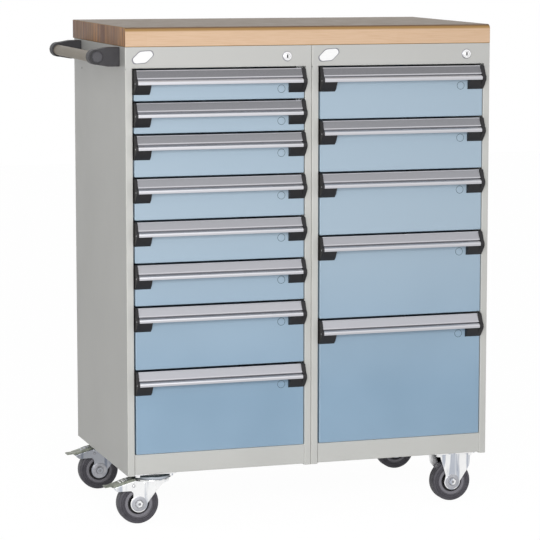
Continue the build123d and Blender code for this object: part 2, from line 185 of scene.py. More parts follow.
class Net:
    """A node tree while it is wired, with its Principled shader if it is a material's."""

    def __init__(self, tree: Tree) -> None:
        """Take the tree."""
        self.tree = tree
        self.shader = tree.nodes.get("Principled BSDF")

    def add(self, kind: Kind, *given: Any) -> Socket | None:
        """Add one node with its settings and links.

        Args:
            kind: What it is.
            given: For each of its inputs in turn, a value, a hex colour or an output to link.

        Returns:
            The output that its kind uses.
        """
        made = self.tree.nodes.new(kind.node)
        for name, value in kind.settings.items():
            setattr(made, name, value)
        for key, value in zip(kind.keys, given):
            if isinstance(value, Socket):
                self.tree.links.new(value, made.inputs[key])
            else:
                made.inputs[key].default_value = linear(value) if isinstance(value, str) else value
        return made.outputs[kind.out] if made.outputs else None

    @cached_property
    def place(self) -> Socket:
        """The Object coordinates."""
        return self.add(Kind.PLACE)

    def shade(self, colour: Socket) -> None:
        """Give the shader its base colour."""
        self.tree.links.new(colour, self.shader.inputs["Base Color"])

    def clouds(self, size_mm: float, low: str, high: str, detail: float = 2.0) -> Socket:
        """Drift between two colours over a surface.

        Args:
            size_mm: Size of one cloud.
            low: The darker colour.
            high: The lighter colour.
            detail: Octaves of the noise.

        Returns:
            The colour.
        """
        noise = self.add(Kind.NOISE, self.place, cell(size_mm), detail)
        return self.add(Kind.MIX, self.add(Kind.RANGE, noise, 0.3, 0.7), low, high)

    def stain(self, tone: Socket, mask: Socket, low: float, high: float, share: float,
              colour: str | Socket) -> Socket:
        """Lay a colour over a tone where a mask is high.

        Args:
            tone: The colour below.
            mask: The mask.
            low: Where the mask starts to show.
            high: Where it shows in full.
            share: How much of the colour shows there.
            colour: The colour above.

        Returns:
            The colour.
        """
        part = self.add(Kind.TIMES, self.add(Kind.SMOOTH, mask, low, high), share)
        return self.add(Kind.MIX, part, tone, colour)

    def grain(self, height: Socket, deep_mm: float) -> None:
        """Raise the surface by a height between 0 and 1, times a depth in millimetres."""
        self.tree.links.new(self.add(Kind.BUMP, height, deep_mm * MM), self.shader.inputs["Normal"])

    def uneven(self, size_mm: float, spread: float, noise: Socket | None = None) -> None:
        """Let the roughness drift.

        Args:
            size_mm: Size of one patch.
            spread: How far it drifts to either side.
            noise: A pattern that it follows instead of patches.
        """
        rough = self.shader.inputs["Roughness"]
        noise = noise or self.add(Kind.NOISE, self.place, cell(size_mm), 3.0)
        middle = rough.default_value
        self.tree.links.new(self.add(Kind.RANGE, noise, 0.3, 0.7, middle - spread, middle + spread), rough)


# Finishes.


@dataclass(frozen=True)
class Finish:
    """A material, built once and shared by every piece that names it, and its slot in the record."""

    name: str
    slot: str
    colour: str
    roughness: float = 0.5
    metallic: float = 0.0

    def material(self) -> bpy.types.Material:
        """Return the material, building its nodes the first time."""
        made = bpy.data.materials.get(self.name)
        if not made:
            made = bpy.data.materials.new(self.name)
            made.use_nodes = True
            made.diffuse_color = linear(self.colour)
            net = Net(made.node_tree)
            for key, value in (("Base Color", linear(self.colour)), ("Roughness", self.roughness),
                               ("Metallic", self.metallic)):
                net.shader.inputs[key].default_value = value
            self.dress(net)
        return made

    def dress(self, net: Net) -> None:
        """Add the finish's own nodes to the material's."""
        raise NotImplementedError


@dataclass(frozen=True)
class PowderCoat(Finish):
    """Baked powder on sheet steel: satin, with orange peel about 1.2 mm across and a faint drift in tone.
    A paler tone along bends of the front is a painted highlight. The tone may also change with height in
    metres, paler on the upper drawer fronts of the photograph and darker on the header: painted light and shade."""

    low: str = "#000000"
    high: str = "#FFFFFF"
    peel_mm: float = 1.2
    peel_deep_mm: float = 0.03
    # bend: colour of the painted highlight on the front's bends.
    bend: str = ""
    # upper: colour of the painted light and shade reached with height, between the two heights below.
    upper: str = ""
    painted_light_heights: tuple[float, float] = (0.30, 0.70)

    def dress(self, net: Net) -> None:
        """Add the tone, the orange peel and the drifting gloss.

        Args:
            net: The material's nodes.
        """
        tone = net.clouds(240, self.low, self.high)
        # Painted light and shade: the tone moves to the upper colour with height.
        if self.upper:
            level = net.add(Kind.RANGE, net.add(Kind.PART_Z, net.place), *self.painted_light_heights)
            tone = net.add(Kind.MIX, level, tone, self.upper)
        # Painted highlight on the bevels of the front, where the normal turns partly away from Y.
        if self.bend:
            depth = net.add(Kind.SIZE, net.add(Kind.PART_Y, net.add(Kind.NORMAL)))
            both = net.add(Kind.TIMES, net.add(Kind.RANGE, depth, 0.15, 0.35),
                           net.add(Kind.RANGE, depth, 0.8, 0.97, 1.0, 0.0))
            tone = net.add(Kind.MIX, both, tone, self.bend)
        net.shade(tone)
        net.grain(net.add(Kind.NOISE, net.place, cell(self.peel_mm), 2.0), self.peel_deep_mm)
        net.uneven(60, 0.03)


@dataclass(frozen=True)
class AnodisedExtrusion(Finish):
    """Satin anodised aluminium drawn through a die: fine lines along X, about 0.7 mm apart as drawn here,
    coarser than the real ones so that they show."""

    line_mm: float = 0.7

    def dress(self, net: Net) -> None:
        """Add the die lines.

        Args:
            net: The material's nodes.
        """
        long = net.add(Kind.STRETCH, net.place, (0.01, 1.0, 1.0))
        lines = net.add(Kind.NOISE, long, cell(self.line_mm), 2.0)
        net.grain(lines, 0.002)
        net.uneven(self.line_mm, 0.03, lines)


@dataclass(frozen=True)
class ZincPlate(Finish):
    """Bright zinc on pressed steel: a bluish white metal with upright light and dark bands 8 to 15 mm wide,
    painted reflections of the kind its curved, ribbed pressings show. It may be darker towards the rear:
    painted shade for the shadow under the cabinet."""

    low: str = "#C3C8D2"
    high: str = "#FFFFFF"
    # rear: colour of the painted shade towards the rear, under the cabinet.
    rear: str = ""
    # streak_mm: width of the painted reflection bands.
    streak_mm: float = 13.0

    def dress(self, net: Net) -> None:
        """Add the painted reflection bands, the painted rear shade, the drifting gloss and the faint pressing
        marks.

        Args:
            net: The material's nodes.
        """
        # Painted reflections: upright light and dark bands in the metal's colour.
        tall = net.add(Kind.STRETCH, net.place, (1.0, 1.0, 0.12))
        bands = net.add(Kind.SMOOTH, net.add(Kind.NOISE, tall, cell(self.streak_mm), 1.0), 0.31, 0.47)
        tone = net.add(Kind.MIX, bands, self.low, self.high)
        # Painted shade: darker towards the rear.
        if self.rear:
            depth = net.add(Kind.RANGE, net.add(Kind.PART_Y, net.place), -0.12, 0.12)
            tone = net.add(Kind.TINT, depth, tone, self.rear)
        net.shade(tone)
        net.uneven(30, 0.03)
        net.grain(net.add(Kind.NOISE, net.place, cell(2.5), 2.0), 0.002)


@dataclass(frozen=True)
class PolishedChrome(Finish):
    """Chrome over a die-cast lock: a bright mirror with faint swirls from polishing."""

    def dress(self, net: Net) -> None:
        """Add the polishing haze."""
        net.uneven(3, 0.05)


@dataclass(frozen=True)
class MouldedNylon(Finish):
    """Filled nylon or rubber from a spark-eroded mould: matt, with a 0.6 mm grain."""

    grain_mm: float = 0.6

    def dress(self, net: Net) -> None:
        """Add the mould grain."""
        net.grain(net.add(Kind.NOISE, net.place, cell(self.grain_mm), 3.0), 0.03)
        net.uneven(20, 0.05)


@dataclass(frozen=True)
class TyreRubber(Finish):
    """Elastic rubber from a mould: dark grey, matt, a little dusty in patches."""

    low: str = "#434148"
    high: str = "#545259"

    def dress(self, net: Net) -> None:
        """Add the dusty drift and the skin of the rubber.

        Args:
            net: The material's nodes.
        """
        net.shade(net.clouds(14, self.low, self.high, 4.0))
        net.grain(net.add(Kind.NOISE, net.place, cell(0.8), 2.0), 0.02)
        net.uneven(12, 0.06)


@dataclass(frozen=True)
class PassivatedSteel(Finish):
    """Passivated steel: a grey green metal, blotched over about 12 mm. A turned band of it may be paler
    where it faces the front, below a height in metres: a painted reflection."""

    low: str = "#6A6E64"
    high: str = "#A3A79B"
    blotch_mm: float = 12.0
    # front: colour of the painted reflection where the band faces the front; below: the band's top in metres.
    front: str = ""
    below: float = 0.1195

    def dress(self, net: Net) -> None:
        """Add the blotches and the painted reflection on the front.

        Args:
            net: The material's nodes.
        """
        tone = net.clouds(self.blotch_mm, self.low, self.high)
        # Painted reflection on the front of the band.
        if self.front:
            facing = net.add(Kind.RANGE, net.add(Kind.PART_Y, net.add(Kind.NORMAL)), -0.6, -0.95)
            height = net.add(Kind.PART_Z, net.place)
            low = net.add(Kind.RANGE, height, self.below, self.below - 0.002)
            tone = net.add(Kind.MIX, net.add(Kind.TIMES, facing, low), tone, self.front)
        net.shade(tone)
        net.uneven(20, 0.05)


@dataclass(frozen=True)
class PrintedCard(Finish):
    """A strip of blank card under clear film in the pull's label channel: flat grey, faintly fibrous,
    and lighter on the lower drawers, as the photograph shows it, a lighter tone that is painted light."""

    low: str = "#7B7B80"
    high: str = "#848488"
    # pale: the painted light on the lower drawers' cards, reached between the two heights below.
    pale: str = "#C4C4CA"
    painted_light_heights: tuple[float, float] = (1.08, 0.50)

    def dress(self, net: Net) -> None:
        """Add the fibres of the card and the painted light that makes it lighter below.

        Args:
            net: The material's nodes.
        """
        level = net.add(Kind.RANGE, net.add(Kind.PART_Z, net.place), *self.painted_light_heights)
        net.shade(net.add(Kind.MIX, level, net.clouds(3, self.low, self.high, 4.0), self.pale))
        net.uneven(30, 0.03)


@dataclass(frozen=True)
class OiledBlocks(Finish):
    """Edge-glued beech staves, oiled: pale long grain on the faces and brown end grain at the ends. The grey
    tone of the top is a painted sheen, and the golden tone of the rounded edge, darker where it faces up, is
    painted light and shade. Staves are 30 to 80 mm wide and run along X."""

    stave_mm: float = 46.0
    stave_length_mm: float = 620.0
    grain_mm: float = 1.6
    ring_mm: float = 9.0
    streak_mm: float = 14.0

    def dress(self, net: Net) -> None:
        """Add staves, long grain, end grain, and the painted light on top and edge.

        Args:
            net: The material's nodes.
        """
        add, place = net.add, net.place
        x, y = add(Kind.PART_X, place), add(Kind.PART_Y, place)
        across = add(Kind.TIMES_PLUS, add(Kind.SINE, add(Kind.TIMES, y, 37.0)), 0.011, y)
        row = add(Kind.FLOOR, add(Kind.TIMES_PLUS, across, cell(self.stave_mm), 0.46))
        shift = add(Kind.TIMES, add(Kind.CHANCE, row), 5.0)
        along = add(Kind.FLOOR, add(Kind.TIMES_PLUS, x, cell(self.stave_length_mm), shift))
        stave = add(Kind.TIMES_PLUS, along, 7.31, add(Kind.TIMES, row, 1.37))
        tone, grey = add(Kind.CHANCE, stave), add(Kind.CHANCE, add(Kind.PLUS, stave, 0.5))
        long, tall = (add(Kind.STRETCH, place, scale) for scale in ((0.03, 1.0, 1.0), (1.0, 1.0, 0.06)))
        fibres = add(Kind.NOISE, long, cell(self.grain_mm), 4.0, 0.4)
        rings = add(Kind.NOISE, place, cell(self.ring_mm), 4.0, 1.2)
        streaks = add(Kind.NOISE, tall, cell(self.streak_mm), 3.0)
        face = net.stain(add(Kind.MIX, tone, "#DCBA9A", "#E5C6A9"), fibres, 0.42, 0.66, 0.3, "#CBA47D")
        end = net.stain(add(Kind.MIX, tone, "#7D4B29", "#C68D54"), grey, 0.65, 0.8, 0.4, "#716055")
        end = net.stain(end, streaks, 0.4, 0.6, 0.6, "#5F3F2A")
        end = net.stain(end, rings, 0.4, 0.62, 0.2, "#8C6648")
        # Painted sheen: the grey tone on top.
        top = add(Kind.MIX, add(Kind.TIMES, fibres, 0.5), "#928272", "#A49483")
        sideways, up = (add(Kind.SIZE, add(kind, add(Kind.NORMAL))) for kind in (Kind.PART_X, Kind.PART_Z))
        flat = add(Kind.SMOOTH, up, 0.9, 0.985)
        roll = add(Kind.TIMES, add(Kind.SMOOTH, up, 0.0, 0.4), add(Kind.MINUS, 1.0, flat))
        # Painted light and shade on the rounded edge: golden, darker where it faces up.
        edge = add(Kind.MIX, add(Kind.SMOOTH, up, 0.55, 0.9), "#A9834B", "#5E4129")
        colour = net.stain(face, sideways, 0.55, 0.85, 1.0, end)
        colour = add(Kind.MIX, add(Kind.TIMES, roll, 0.9), colour, edge)
        net.shade(add(Kind.MIX, flat, colour, top))
        net.shader.inputs["Specular IOR Level"].default_value = 0.25
        net.grain(fibres, 0.05)
        net.uneven(40, 0.05)


@dataclass(frozen=True)
class StudioPaper(Finish):
    """Matt white paper: it keeps a faint shadow and is nearly white to the camera and in mirrors."""

    glow: float = 1.04
    seen: float = 0.93
    mirrored: float = 0.62

    def dress(self, net: Net) -> None:
        """Add the glow.

        Args:
            net: The material's nodes.
        """
        seen = net.add(Kind.TIMES, net.add(Kind.CAMERA_RAY), self.seen)
        share = net.add(Kind.TIMES_PLUS, net.add(Kind.GLOSSY_RAY), self.mirrored, seen)
        paper = net.add(Kind.BLEND, share, net.shader.outputs[0], net.add(Kind.GLOW, "#FFFFFF", self.glow))
        net.tree.links.new(paper, net.tree.nodes["Material Output"].inputs["Surface"])


# In both enamels, the colour after the peel depth is the painted highlight on the bends, and the next one is the
# painted light and shade reached with height.
HOUSING_ENAMEL = PowderCoat("powder_coated_steel_light_grey", "housing_enamel", "#C9C9C5", 0.42, 0.0, "#C8C8C4",
                            "#CFCFCB", 1.4, 0.04, "#E0E0DB", "#C5C5C2", (1.02, 1.11))
DRAWER_ENAMEL = PowderCoat("powder_coated_steel_pale_blue", "drawer_enamel", "#90ADC4", 0.38, 0.0, "#8BA8C0",
                           "#94B1C9", 1.2, 0.03, "#B4CCDE", "#ABBFCF")
BAR_ENAMEL = PowderCoat("powder_coated_tube_taupe", "bar_enamel", "#8A7F6E", 0.45, 0.0, "#867B6A", "#8F8473")
BADGE_ENAMEL = PowderCoat("moulded_badge_white", "", "#FCFCFC", 0.3, 0.0, "#FAFAFA", "#FFFFFF", 2.0, 0.01)
BADGE_RIM = PowderCoat("moulded_badge_rim_grey", "", "#86868E", 0.35, 0.0, "#82828A", "#8C8C94", 2.0, 0.01)
PULL_METAL = AnodisedExtrusion("anodised_aluminium_extruded", "pull_aluminium", "#C8C8CD", 0.4, 1.0)
# Darker aluminium for the faces in the pull's groove: painted shade.
GROOVE_SHADE = AnodisedExtrusion("anodised_aluminium_groove_shade", "pull_aluminium", "#808086", 0.5, 1.0)
CARD = PrintedCard("blank_label_card_in_film", "", "#828287", 0.4)
# Both zincs carry painted reflection bands; the caster zinc also a painted shade towards the rear.
ZINC = ZincPlate("zinc_plated_steel_pressed", "zinc_plate", "#CBCED4", 0.34, 1.0, "#C5C8CE", "#D2D5DA")
CASTER_ZINC = ZincPlate("zinc_plated_steel_caster", "zinc_plate", "#F2F4F7", 0.3, 1.0, rear="#AFB2B9")
LOCK_CHROME = PolishedChrome("chromed_zinc_die_cast", "lock_chrome", "#F7F7F8", 0.2, 1.0)
BLACK_NYLON = MouldedNylon("glass_filled_nylon_moulded", "black_nylon", "#131115", 0.55)
BRACKET_NYLON = MouldedNylon("glass_filled_nylon_bracket", "black_nylon", "#242227")
PLUG_NYLON = MouldedNylon("nylon_plug_moulded", "black_nylon", "#434247")
RIM_NYLON = MouldedNylon("grey_nylon_rim_moulded", "black_nylon", "#807E85", 0.42)
# Dark teal ring round the drawers' hole plugs: painted shade for the gap.
GAP_SHADE_RING = MouldedNylon("plug_gap_painted_shade", "", "#2F4550")
STOP_RUBBER = MouldedNylon("rubber_stop_grey", "", "#7F7F7A", 0.6)
RUBBER = TyreRubber("elastic_rubber_moulded", "tyre_rubber", "#4B4950")
PEDAL_STEEL = PassivatedSteel("passivated_steel_folded", "pedal_steel", "#787C72", 0.42, 0.75)
# The race's dark tone is partly painted shade for its ends; its paler front is a painted reflection.
DARK_RACE = PassivatedSteel("passivated_race_dark", "zinc_plate", "#4A5254", 0.25, 0.9, "#232A2D", "#3C4649", 24.0,
                            "#C6CCD4")
# Darker grey steel for the lock's washer and the rings round the axle heads and rivets: painted shade.
WASHER_SHADE = PassivatedSteel("grey_washer_painted_shade", "", "#9A9A9E", 0.4, 0.8, "#8E8E92", "#A8A8AC")
BOSS_STEEL = PassivatedSteel("zinc_plated_washer_steel", "", "#B4B5BA", 0.42, 0.9, "#ABACB2", "#C0C1C6")
WOOD = OiledBlocks("oiled_beech_edge_glued", "oiled_beech", "#DDB68F", 0.46)
PAPER = StudioPaper("studio_paper_white", "", "#EFEFEF", 0.9)
FITTINGS = (CASTER_ZINC, WASHER_SHADE, BOSS_STEEL)


# Shapes.


def rectangle(x: Point, y: Point) -> Outline:
    """Corners of a rectangle from its limits."""
    return [(x[0], y[0]), (x[1], y[0]), (x[1], y[1]), (x[0], y[1])]


def arc(radius: float, start: float, sweep: float, steps: int, centre: Point = (0.0, 0.0)) -> Outline:
    """Points along an arc, both ends included, with angles in degrees."""
    turns = [math.radians(start + sweep * k / steps) for k in range(steps + 1)]
    return [(centre[0] + radius * math.cos(t), centre[1] + radius * math.sin(t)) for t in turns]


def mirrored(half: Sequence[Point]) -> Outline:
    """Half of a profile with its mirror image, for a piece that is alike at both ends."""
    return [*half, *((-along, radius) for along, radius in reversed(half))]


def rounded(points: Sequence[Point], radii: dict[int, float], steps: int = 4) -> Outline:
    """Replace chosen corners of a closed outline by arcs.

    Args:
        points: Corners of the outline.
        radii: Corner number with its radius.
        steps: Segments in each arc.

    Returns:
        The outline's points.
    """
    out: Outline = []
    for i, point in enumerate(points):
        corner, radius = Vector(point), radii.get(i, 0.0)
        if not radius:
            out.append((corner.x, corner.y))
            continue
        back = (Vector(points[i - 1]) - corner).normalized()
        ahead = (Vector(points[(i + 1) % len(points)]) - corner).normalized()
        half = back.angle(ahead) / 2
        centre = corner + (back + ahead).normalized() * (radius / math.sin(half))
        start, stop = (corner + way * (radius / math.tan(half)) - centre for way in (back, ahead))
        sweep = start.angle_signed(stop)
        for k in range(steps + 1):
            turned = start.copy()
            turned.rotate(Matrix.Rotation(-sweep * k / steps, 2))
            out.append((centre.x + turned.x, centre.y + turned.y))
    return out


def folded(points: Sequence[Point], sheet: float, bend: float, steps: int = 4) -> Outline:
    """Closed outline of a folded sheet from its outer line.

    Args:
        points: The outer line, open, with the material on its left.
        sheet: Sheet thickness, or less than zero with the material on its right.
        bend: Outer bend radius.
        steps: Segments in each bend.

    Returns:
        The outline's points.
    """
    line = [Vector(p) for p in points]
    ways = [(b - a).normalized() for a, b in zip(line, line[1:])]
    normals = [Vector((-way.y, way.x)) for way in ways]
    inner = [line[0] + normals[0] * sheet]
    for corner, before, after in zip(line[1:], normals, normals[1:]):
        both = (before + after).normalized()
        inner.append(corner + both * (sheet / both.dot(after)))
    inner.append(line[-1] + normals[-1] * sheet)
    last = len(line) - 1
    radii: dict[int, float] = {}
    for i in range(1, last):
        radii[i], radii[2 * last + 1 - i] = bend, max(bend - sheet, 0.3)
    return rounded(line + inner[::-1], radii, steps)


def basis(x_way: Point, y_way: Point, origin_mm: Point) -> Matrix:
    """A placing matrix from two directions and an origin in millimetres."""
    x, y = Vector(x_way), Vector(y_way)
    return Matrix.Translation(Vector(origin_mm) * MM) @ Matrix((x, y, x.cross(y))).transposed().to_4x4()


def set_piece(name: str, mesh: bpy.types.Mesh, finishes: Sequence[Finish], body: str, nodes: Iterable[str] = (),
              slot: bool = True, bevel: float = 0.0, steps: int = 2, sharp: float = 38.0) -> None:
    """Put one finished piece into the scene.

    Args:
        name: The piece's name.
        mesh: Its mesh, in place.
        finishes: Its finishes in the order of the mesh's material numbers.
        body: The CAD body it rides on.
        nodes: The CAD nodes it stands for.
        slot: Not used (whether it takes the first finish's slot in the record).
        bevel: Width of the rounding on its sharp edges in millimetres.
        steps: Segments of that rounding.
        sharp: Angle in degrees past which an edge stays sharp.
    """
    piece = bpy.data.objects.new(name, mesh)
    bpy.context.scene.collection.objects.link(piece)
    for finish in finishes:
        mesh.materials.append(finish.material())
    mesh.shade_smooth()
    if bevel:
        soft = piece.modifiers.new("edges", "BEVEL")
        soft.width, soft.segments = bevel * MM, steps
        soft.limit_method, soft.angle_limit = "ANGLE", math.radians(28)
        soft.use_clamp_overlap = soft.harden_normals = True
    else:
        mesh.set_sharp_from_angle(angle=math.radians(sharp))
        piece.modifiers.new("flat", "WEIGHTED_NORMAL").keep_sharp = True
    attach(piece, body)
    if nodes:
        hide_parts(*nodes)
    LOG.info("%s: %d faces on %s", name, len(mesh.polygons), body)


class Shape:
    """Gathers closed parts of one piece in millimetres and turns them into a mesh in metres."""

    def __init__(self) -> None:
        """Start with nothing, in the first finish."""
        self.mesh = bmesh.new()
        self.finish = 0

    def face(self, corners: Sequence[Vert]) -> None:
        """Add one face in the current finish."""
        self.mesh.faces.new(corners).material_index = self.finish

    def ring(self, points: Iterable[Point]) -> list[Vert]:
        """Add a vertex for each point."""
        return [self.mesh.verts.new(point) for point in points]

    def band(self, first: Sequence[Vert], second: Sequence[Vert]) -> None:
        """Join two rings of equal length by faces."""
        for i in range(len(first)):
            self.face((first[i - 1], first[i], second[i], second[i - 1]))

    def block(self, x: Point, y: Point, z: Point) -> None:
        """Add a box from its limits along X, Y and Z."""
        self.prism(rectangle(x, y), Way.Z, *z)

    def prism(self, outline: Sequence[Point], way: Way, low: float, high: float) -> None:
        """Draw a closed outline out along an axis.

        Args:
            outline: Points in (Y, Z), (X, Z) or (X, Y) for the ways X, Y and Z.
            way: The axis.
            low: Start along the axis.
            high: End along the axis.
        """
        ends = [self.ring(way.point(level, u, v) for u, v in outline) for level in (low, high)]
        self.band(*ends)
        for ring in ends:
            self.face(ring)

    def turned(self, profile: Sequence[Point], centre: Point, way: Way, steps: int = 48, closed: bool = False,
               side: int = 1) -> None:
        """Turn a profile about an axis.

        Args:
            profile: Points (along the axis, radius). Open ones start and end on the axis.
            centre: A point of the axis.
            way: The axis.
            steps: Segments round the axis.
            closed: Whether the last point joins the first, as in a ring.
            side: 1, or -1 for the mirror image.
        """
        rings = []
        for along, radius in profile:
            round_axis = arc(radius, 0.0, 360.0 * (steps - 1) / steps, steps - 1) if radius else [(0.0, 0.0)]
            rings.append(self.ring(Vector(centre) + Vector(way.point(side * along, u, v)) for u, v in round_axis))
        for first, second in zip(rings, rings[1:] + rings[:1] * closed):
            for k in range(steps):
                m = (k + 1) % steps
                corners = list(dict.fromkeys((first[k % len(first)], first[m % len(first)],
                                              second[m % len(second)], second[k % len(second)])))
                if len(corners) > 2:
                    self.face(corners)

    def keep(self, name: str, finishes: Sequence[Finish], body: str = "root", nodes: Iterable[str] = (),
             **rest: Any) -> None:
        """Turn all faces outwards and set the piece in metres.

        Args:
            name: The piece's name.
            finishes: Its finishes.
            body: The CAD body it rides on.
            nodes: The CAD nodes it stands for.
            rest: Other settings of set_piece.
        """
        bmesh.ops.recalc_face_normals(self.mesh, faces=self.mesh.faces)
        bmesh.ops.scale(self.mesh, vec=(MM,) * 3, verts=self.mesh.verts)
        mesh = bpy.data.meshes.new(name)
        self.mesh.to_mesh(mesh)
        self.mesh.free()
        set_piece(name, mesh, finishes, body, nodes, **rest)


# Shapes grown by Geometry Nodes.


@dataclass(frozen=True)
class Growth:
    """A shape grown by a Geometry Nodes tree. Its inputs are metres, and a whole number is a count."""

    name: str
    inputs: dict[str, float]

    def wire(self, net: Net, take: Any) -> Socket:
        """Add the tree's own nodes from its Group Input's outputs, and return the geometry."""
        raise NotImplementedError

    def tree(self) -> Tree:
        """Wire the tree the first time, ending in Realize Instances and Set Material.

        Returns:
            The tree.
        """
        made = bpy.data.node_groups.get(self.name)
        if not made:
            made = bpy.data.node_groups.new(self.name, "GeometryNodeTree")
            made.interface.new_socket(name="Geometry", in_out="OUTPUT", socket_type="NodeSocketGeometry")
            for key, value in self.inputs.items():
                kind = "NodeSocketInt" if isinstance(value, int) else "NodeSocketFloat"
                made.interface.new_socket(name=key, in_out="INPUT", socket_type=kind).default_value = value
            made.interface.new_socket(name="Finish", in_out="INPUT", socket_type="NodeSocketMaterial")
            net, take = Net(made), made.nodes.new("NodeGroupInput").outputs
            real = net.add(Kind.REALIZE, self.wire(net, take))
            net.add(Kind.RESULT, net.add(Kind.DRESS, real, take["Finish"]))
        return made

    def keep(self, name: str, finish: Finish, body: str, place: Matrix, values: dict[str, float]) -> None:
        """Run the tree once and set its result as a plain mesh.

        Args:
            name: The piece's name.
            finish: Its finish.
            body: The CAD body it rides on.
            place: Where it goes.
            values: Input name with its value.
        """
        holder = bpy.data.objects.new(name + "_holder", bpy.data.meshes.new(name + "_empty"))
        bpy.context.scene.collection.objects.link(holder)
        run = holder.modifiers.new("grow", "NODES")
        run.node_group = self.tree()
        given = {**values, "Finish": finish.material()}
        for item in run.node_group.interface.items_tree:
            if item.in_out == "INPUT" and item.name in given:
                run[item.identifier] = given[item.name]
        ready = holder.evaluated_get(bpy.context.evaluated_depsgraph_get())
        mesh = bpy.data.meshes.new_from_object(ready)
        mesh.name = name
        mesh.materials.clear()
        bpy.data.objects.remove(holder)
        mesh.transform(place)
        set_piece(name, mesh, [finish], body)


class SlottedSheet(Growth):
    """A sheet with a row of slots, copied across the walls and rows that share it. Its length runs along
    X, its height along Y and its thickness along Z."""

    def wire(self, net: Net, take: Any) -> Socket:
        """Cut the slots out of the sheet, thicken it and copy it.

        Args:
            net: The tree.
            take: The outputs of its Group Input.

        Returns:
            The geometry.
        """
        add, long, pitch = net.add, take["Length"], take["Pitch"]
        free = add(Kind.TIMES_PLUS, take["Margin"], -2.0, long)
        gaps = add(Kind.FLOOR, add(Kind.OVER, free, pitch))
        start = add(Kind.TIMES, add(Kind.MINUS, long, add(Kind.TIMES, gaps, pitch)), 0.5)
        middle = add(Kind.TIMES, take["Height"], 0.5)
        outer = add(Kind.MOVE, add(Kind.RECTANGLE, long, take["Height"]),
                    add(Kind.VECTOR, add(Kind.TIMES, long, 0.5), middle))
        line = add(Kind.LINE, add(Kind.PLUS, gaps, 1.0), add(Kind.VECTOR, pitch), add(Kind.VECTOR, start, middle))
        slots = add(Kind.COPIES, line, add(Kind.RECTANGLE, take["Slot Length"], take["Slot Height"]))
        flat = add(Kind.FILL, add(Kind.JOIN, outer, add(Kind.REALIZE, slots)))
        thick = add(Kind.THICKEN, flat, (0.0, 0.0, 1.0), take["Thickness"], False)
        sheet = add(Kind.MERGE, add(Kind.JOIN, thick, add(Kind.FLIP, flat)), 1e-5)
        walls = add(Kind.LINE, take["Walls"], add(Kind.VECTOR, 0.0, 0.0, take["Wall Distance"]))
        rows = add(Kind.LINE, take["Rows"], add(Kind.VECTOR, 0.0, take["Row Distance"]))
        return add(Kind.COPIES, rows, add(Kind.COPIES, walls, sheet))


class BoltPattern(Growth):
    """Hexagon heads on washers at the corners of a rectangle, standing up along Z."""

    def wire(self, net: Net, take: Any) -> Socket:
        """Stack washer, head and crown, and copy them.

        Args:
            net: The tree.
            take: The outputs of its Group Input.

        Returns:
            The geometry.
        """
        add, head, washer, deep = net.add, take["Head"], take["Washer"], take["Depth"]
        stack = ((24, washer, add(Kind.TIMES, washer, 0.96), 0.0014, 0.0), (6, head, head, deep, 0.0012),
                 (18, add(Kind.TIMES, head, 0.86), add(Kind.TIMES, head, 0.74), 0.0006,
                  add(Kind.PLUS, deep, 0.0011)))
        bolt = [add(Kind.MOVE, add(Kind.CONE, *cone), add(Kind.VECTOR, 0.0, 0.0, lift)) for *cone, lift in stack]
        return add(Kind.COPIES, add(Kind.GRID, take["Length"], take["Width"], 2, 2), add(Kind.JOIN, *bolt))


class TreadRibs(Growth):
    """Low ribs across a tyre's tread, set round the Z axis."""

    def wire(self, net: Net, take: Any) -> Socket:
        """Set one rib on each point of a circle.

        Args:
            net: The tree.
            take: The outputs of its Group Input.

        Returns:
            The geometry.
        """
        circle = net.add(Kind.CIRCLE, take["Count"], take["Radius"])
        size = net.add(Kind.VECTOR, take["Rib Height"], take["Rib Width"], take["Rib Length"])
        return net.add(Kind.COPIES, circle, net.add(Kind.BOX, size), net.add(Kind.AIM, net.add(Kind.POSITION)))


SHEET = SlottedSheet("slotted_sheet", {
    "Length": 0.48, "Height": 0.05, "Thickness": 0.0012, "Pitch": 0.0254, "Margin": 0.02, "Slot Length": 0.004,
    "Slot Height": 0.03, "Walls": 1, "Wall Distance": 0.4, "Rows": 1, "Row Distance": 0.4})
BOLTS = BoltPattern("bolt_pattern", {"Length": 0.08, "Width": 0.06, "Head": 0.0065, "Depth": 0.0053,
                                     "Washer": 0.0085})
RIBS = TreadRibs("tread_ribs", {"Radius": 0.0496, "Count": 84, "Rib Length": 0.017, "Rib Width": 0.0016,
                                "Rib Height": 0.0008})


# The studio.


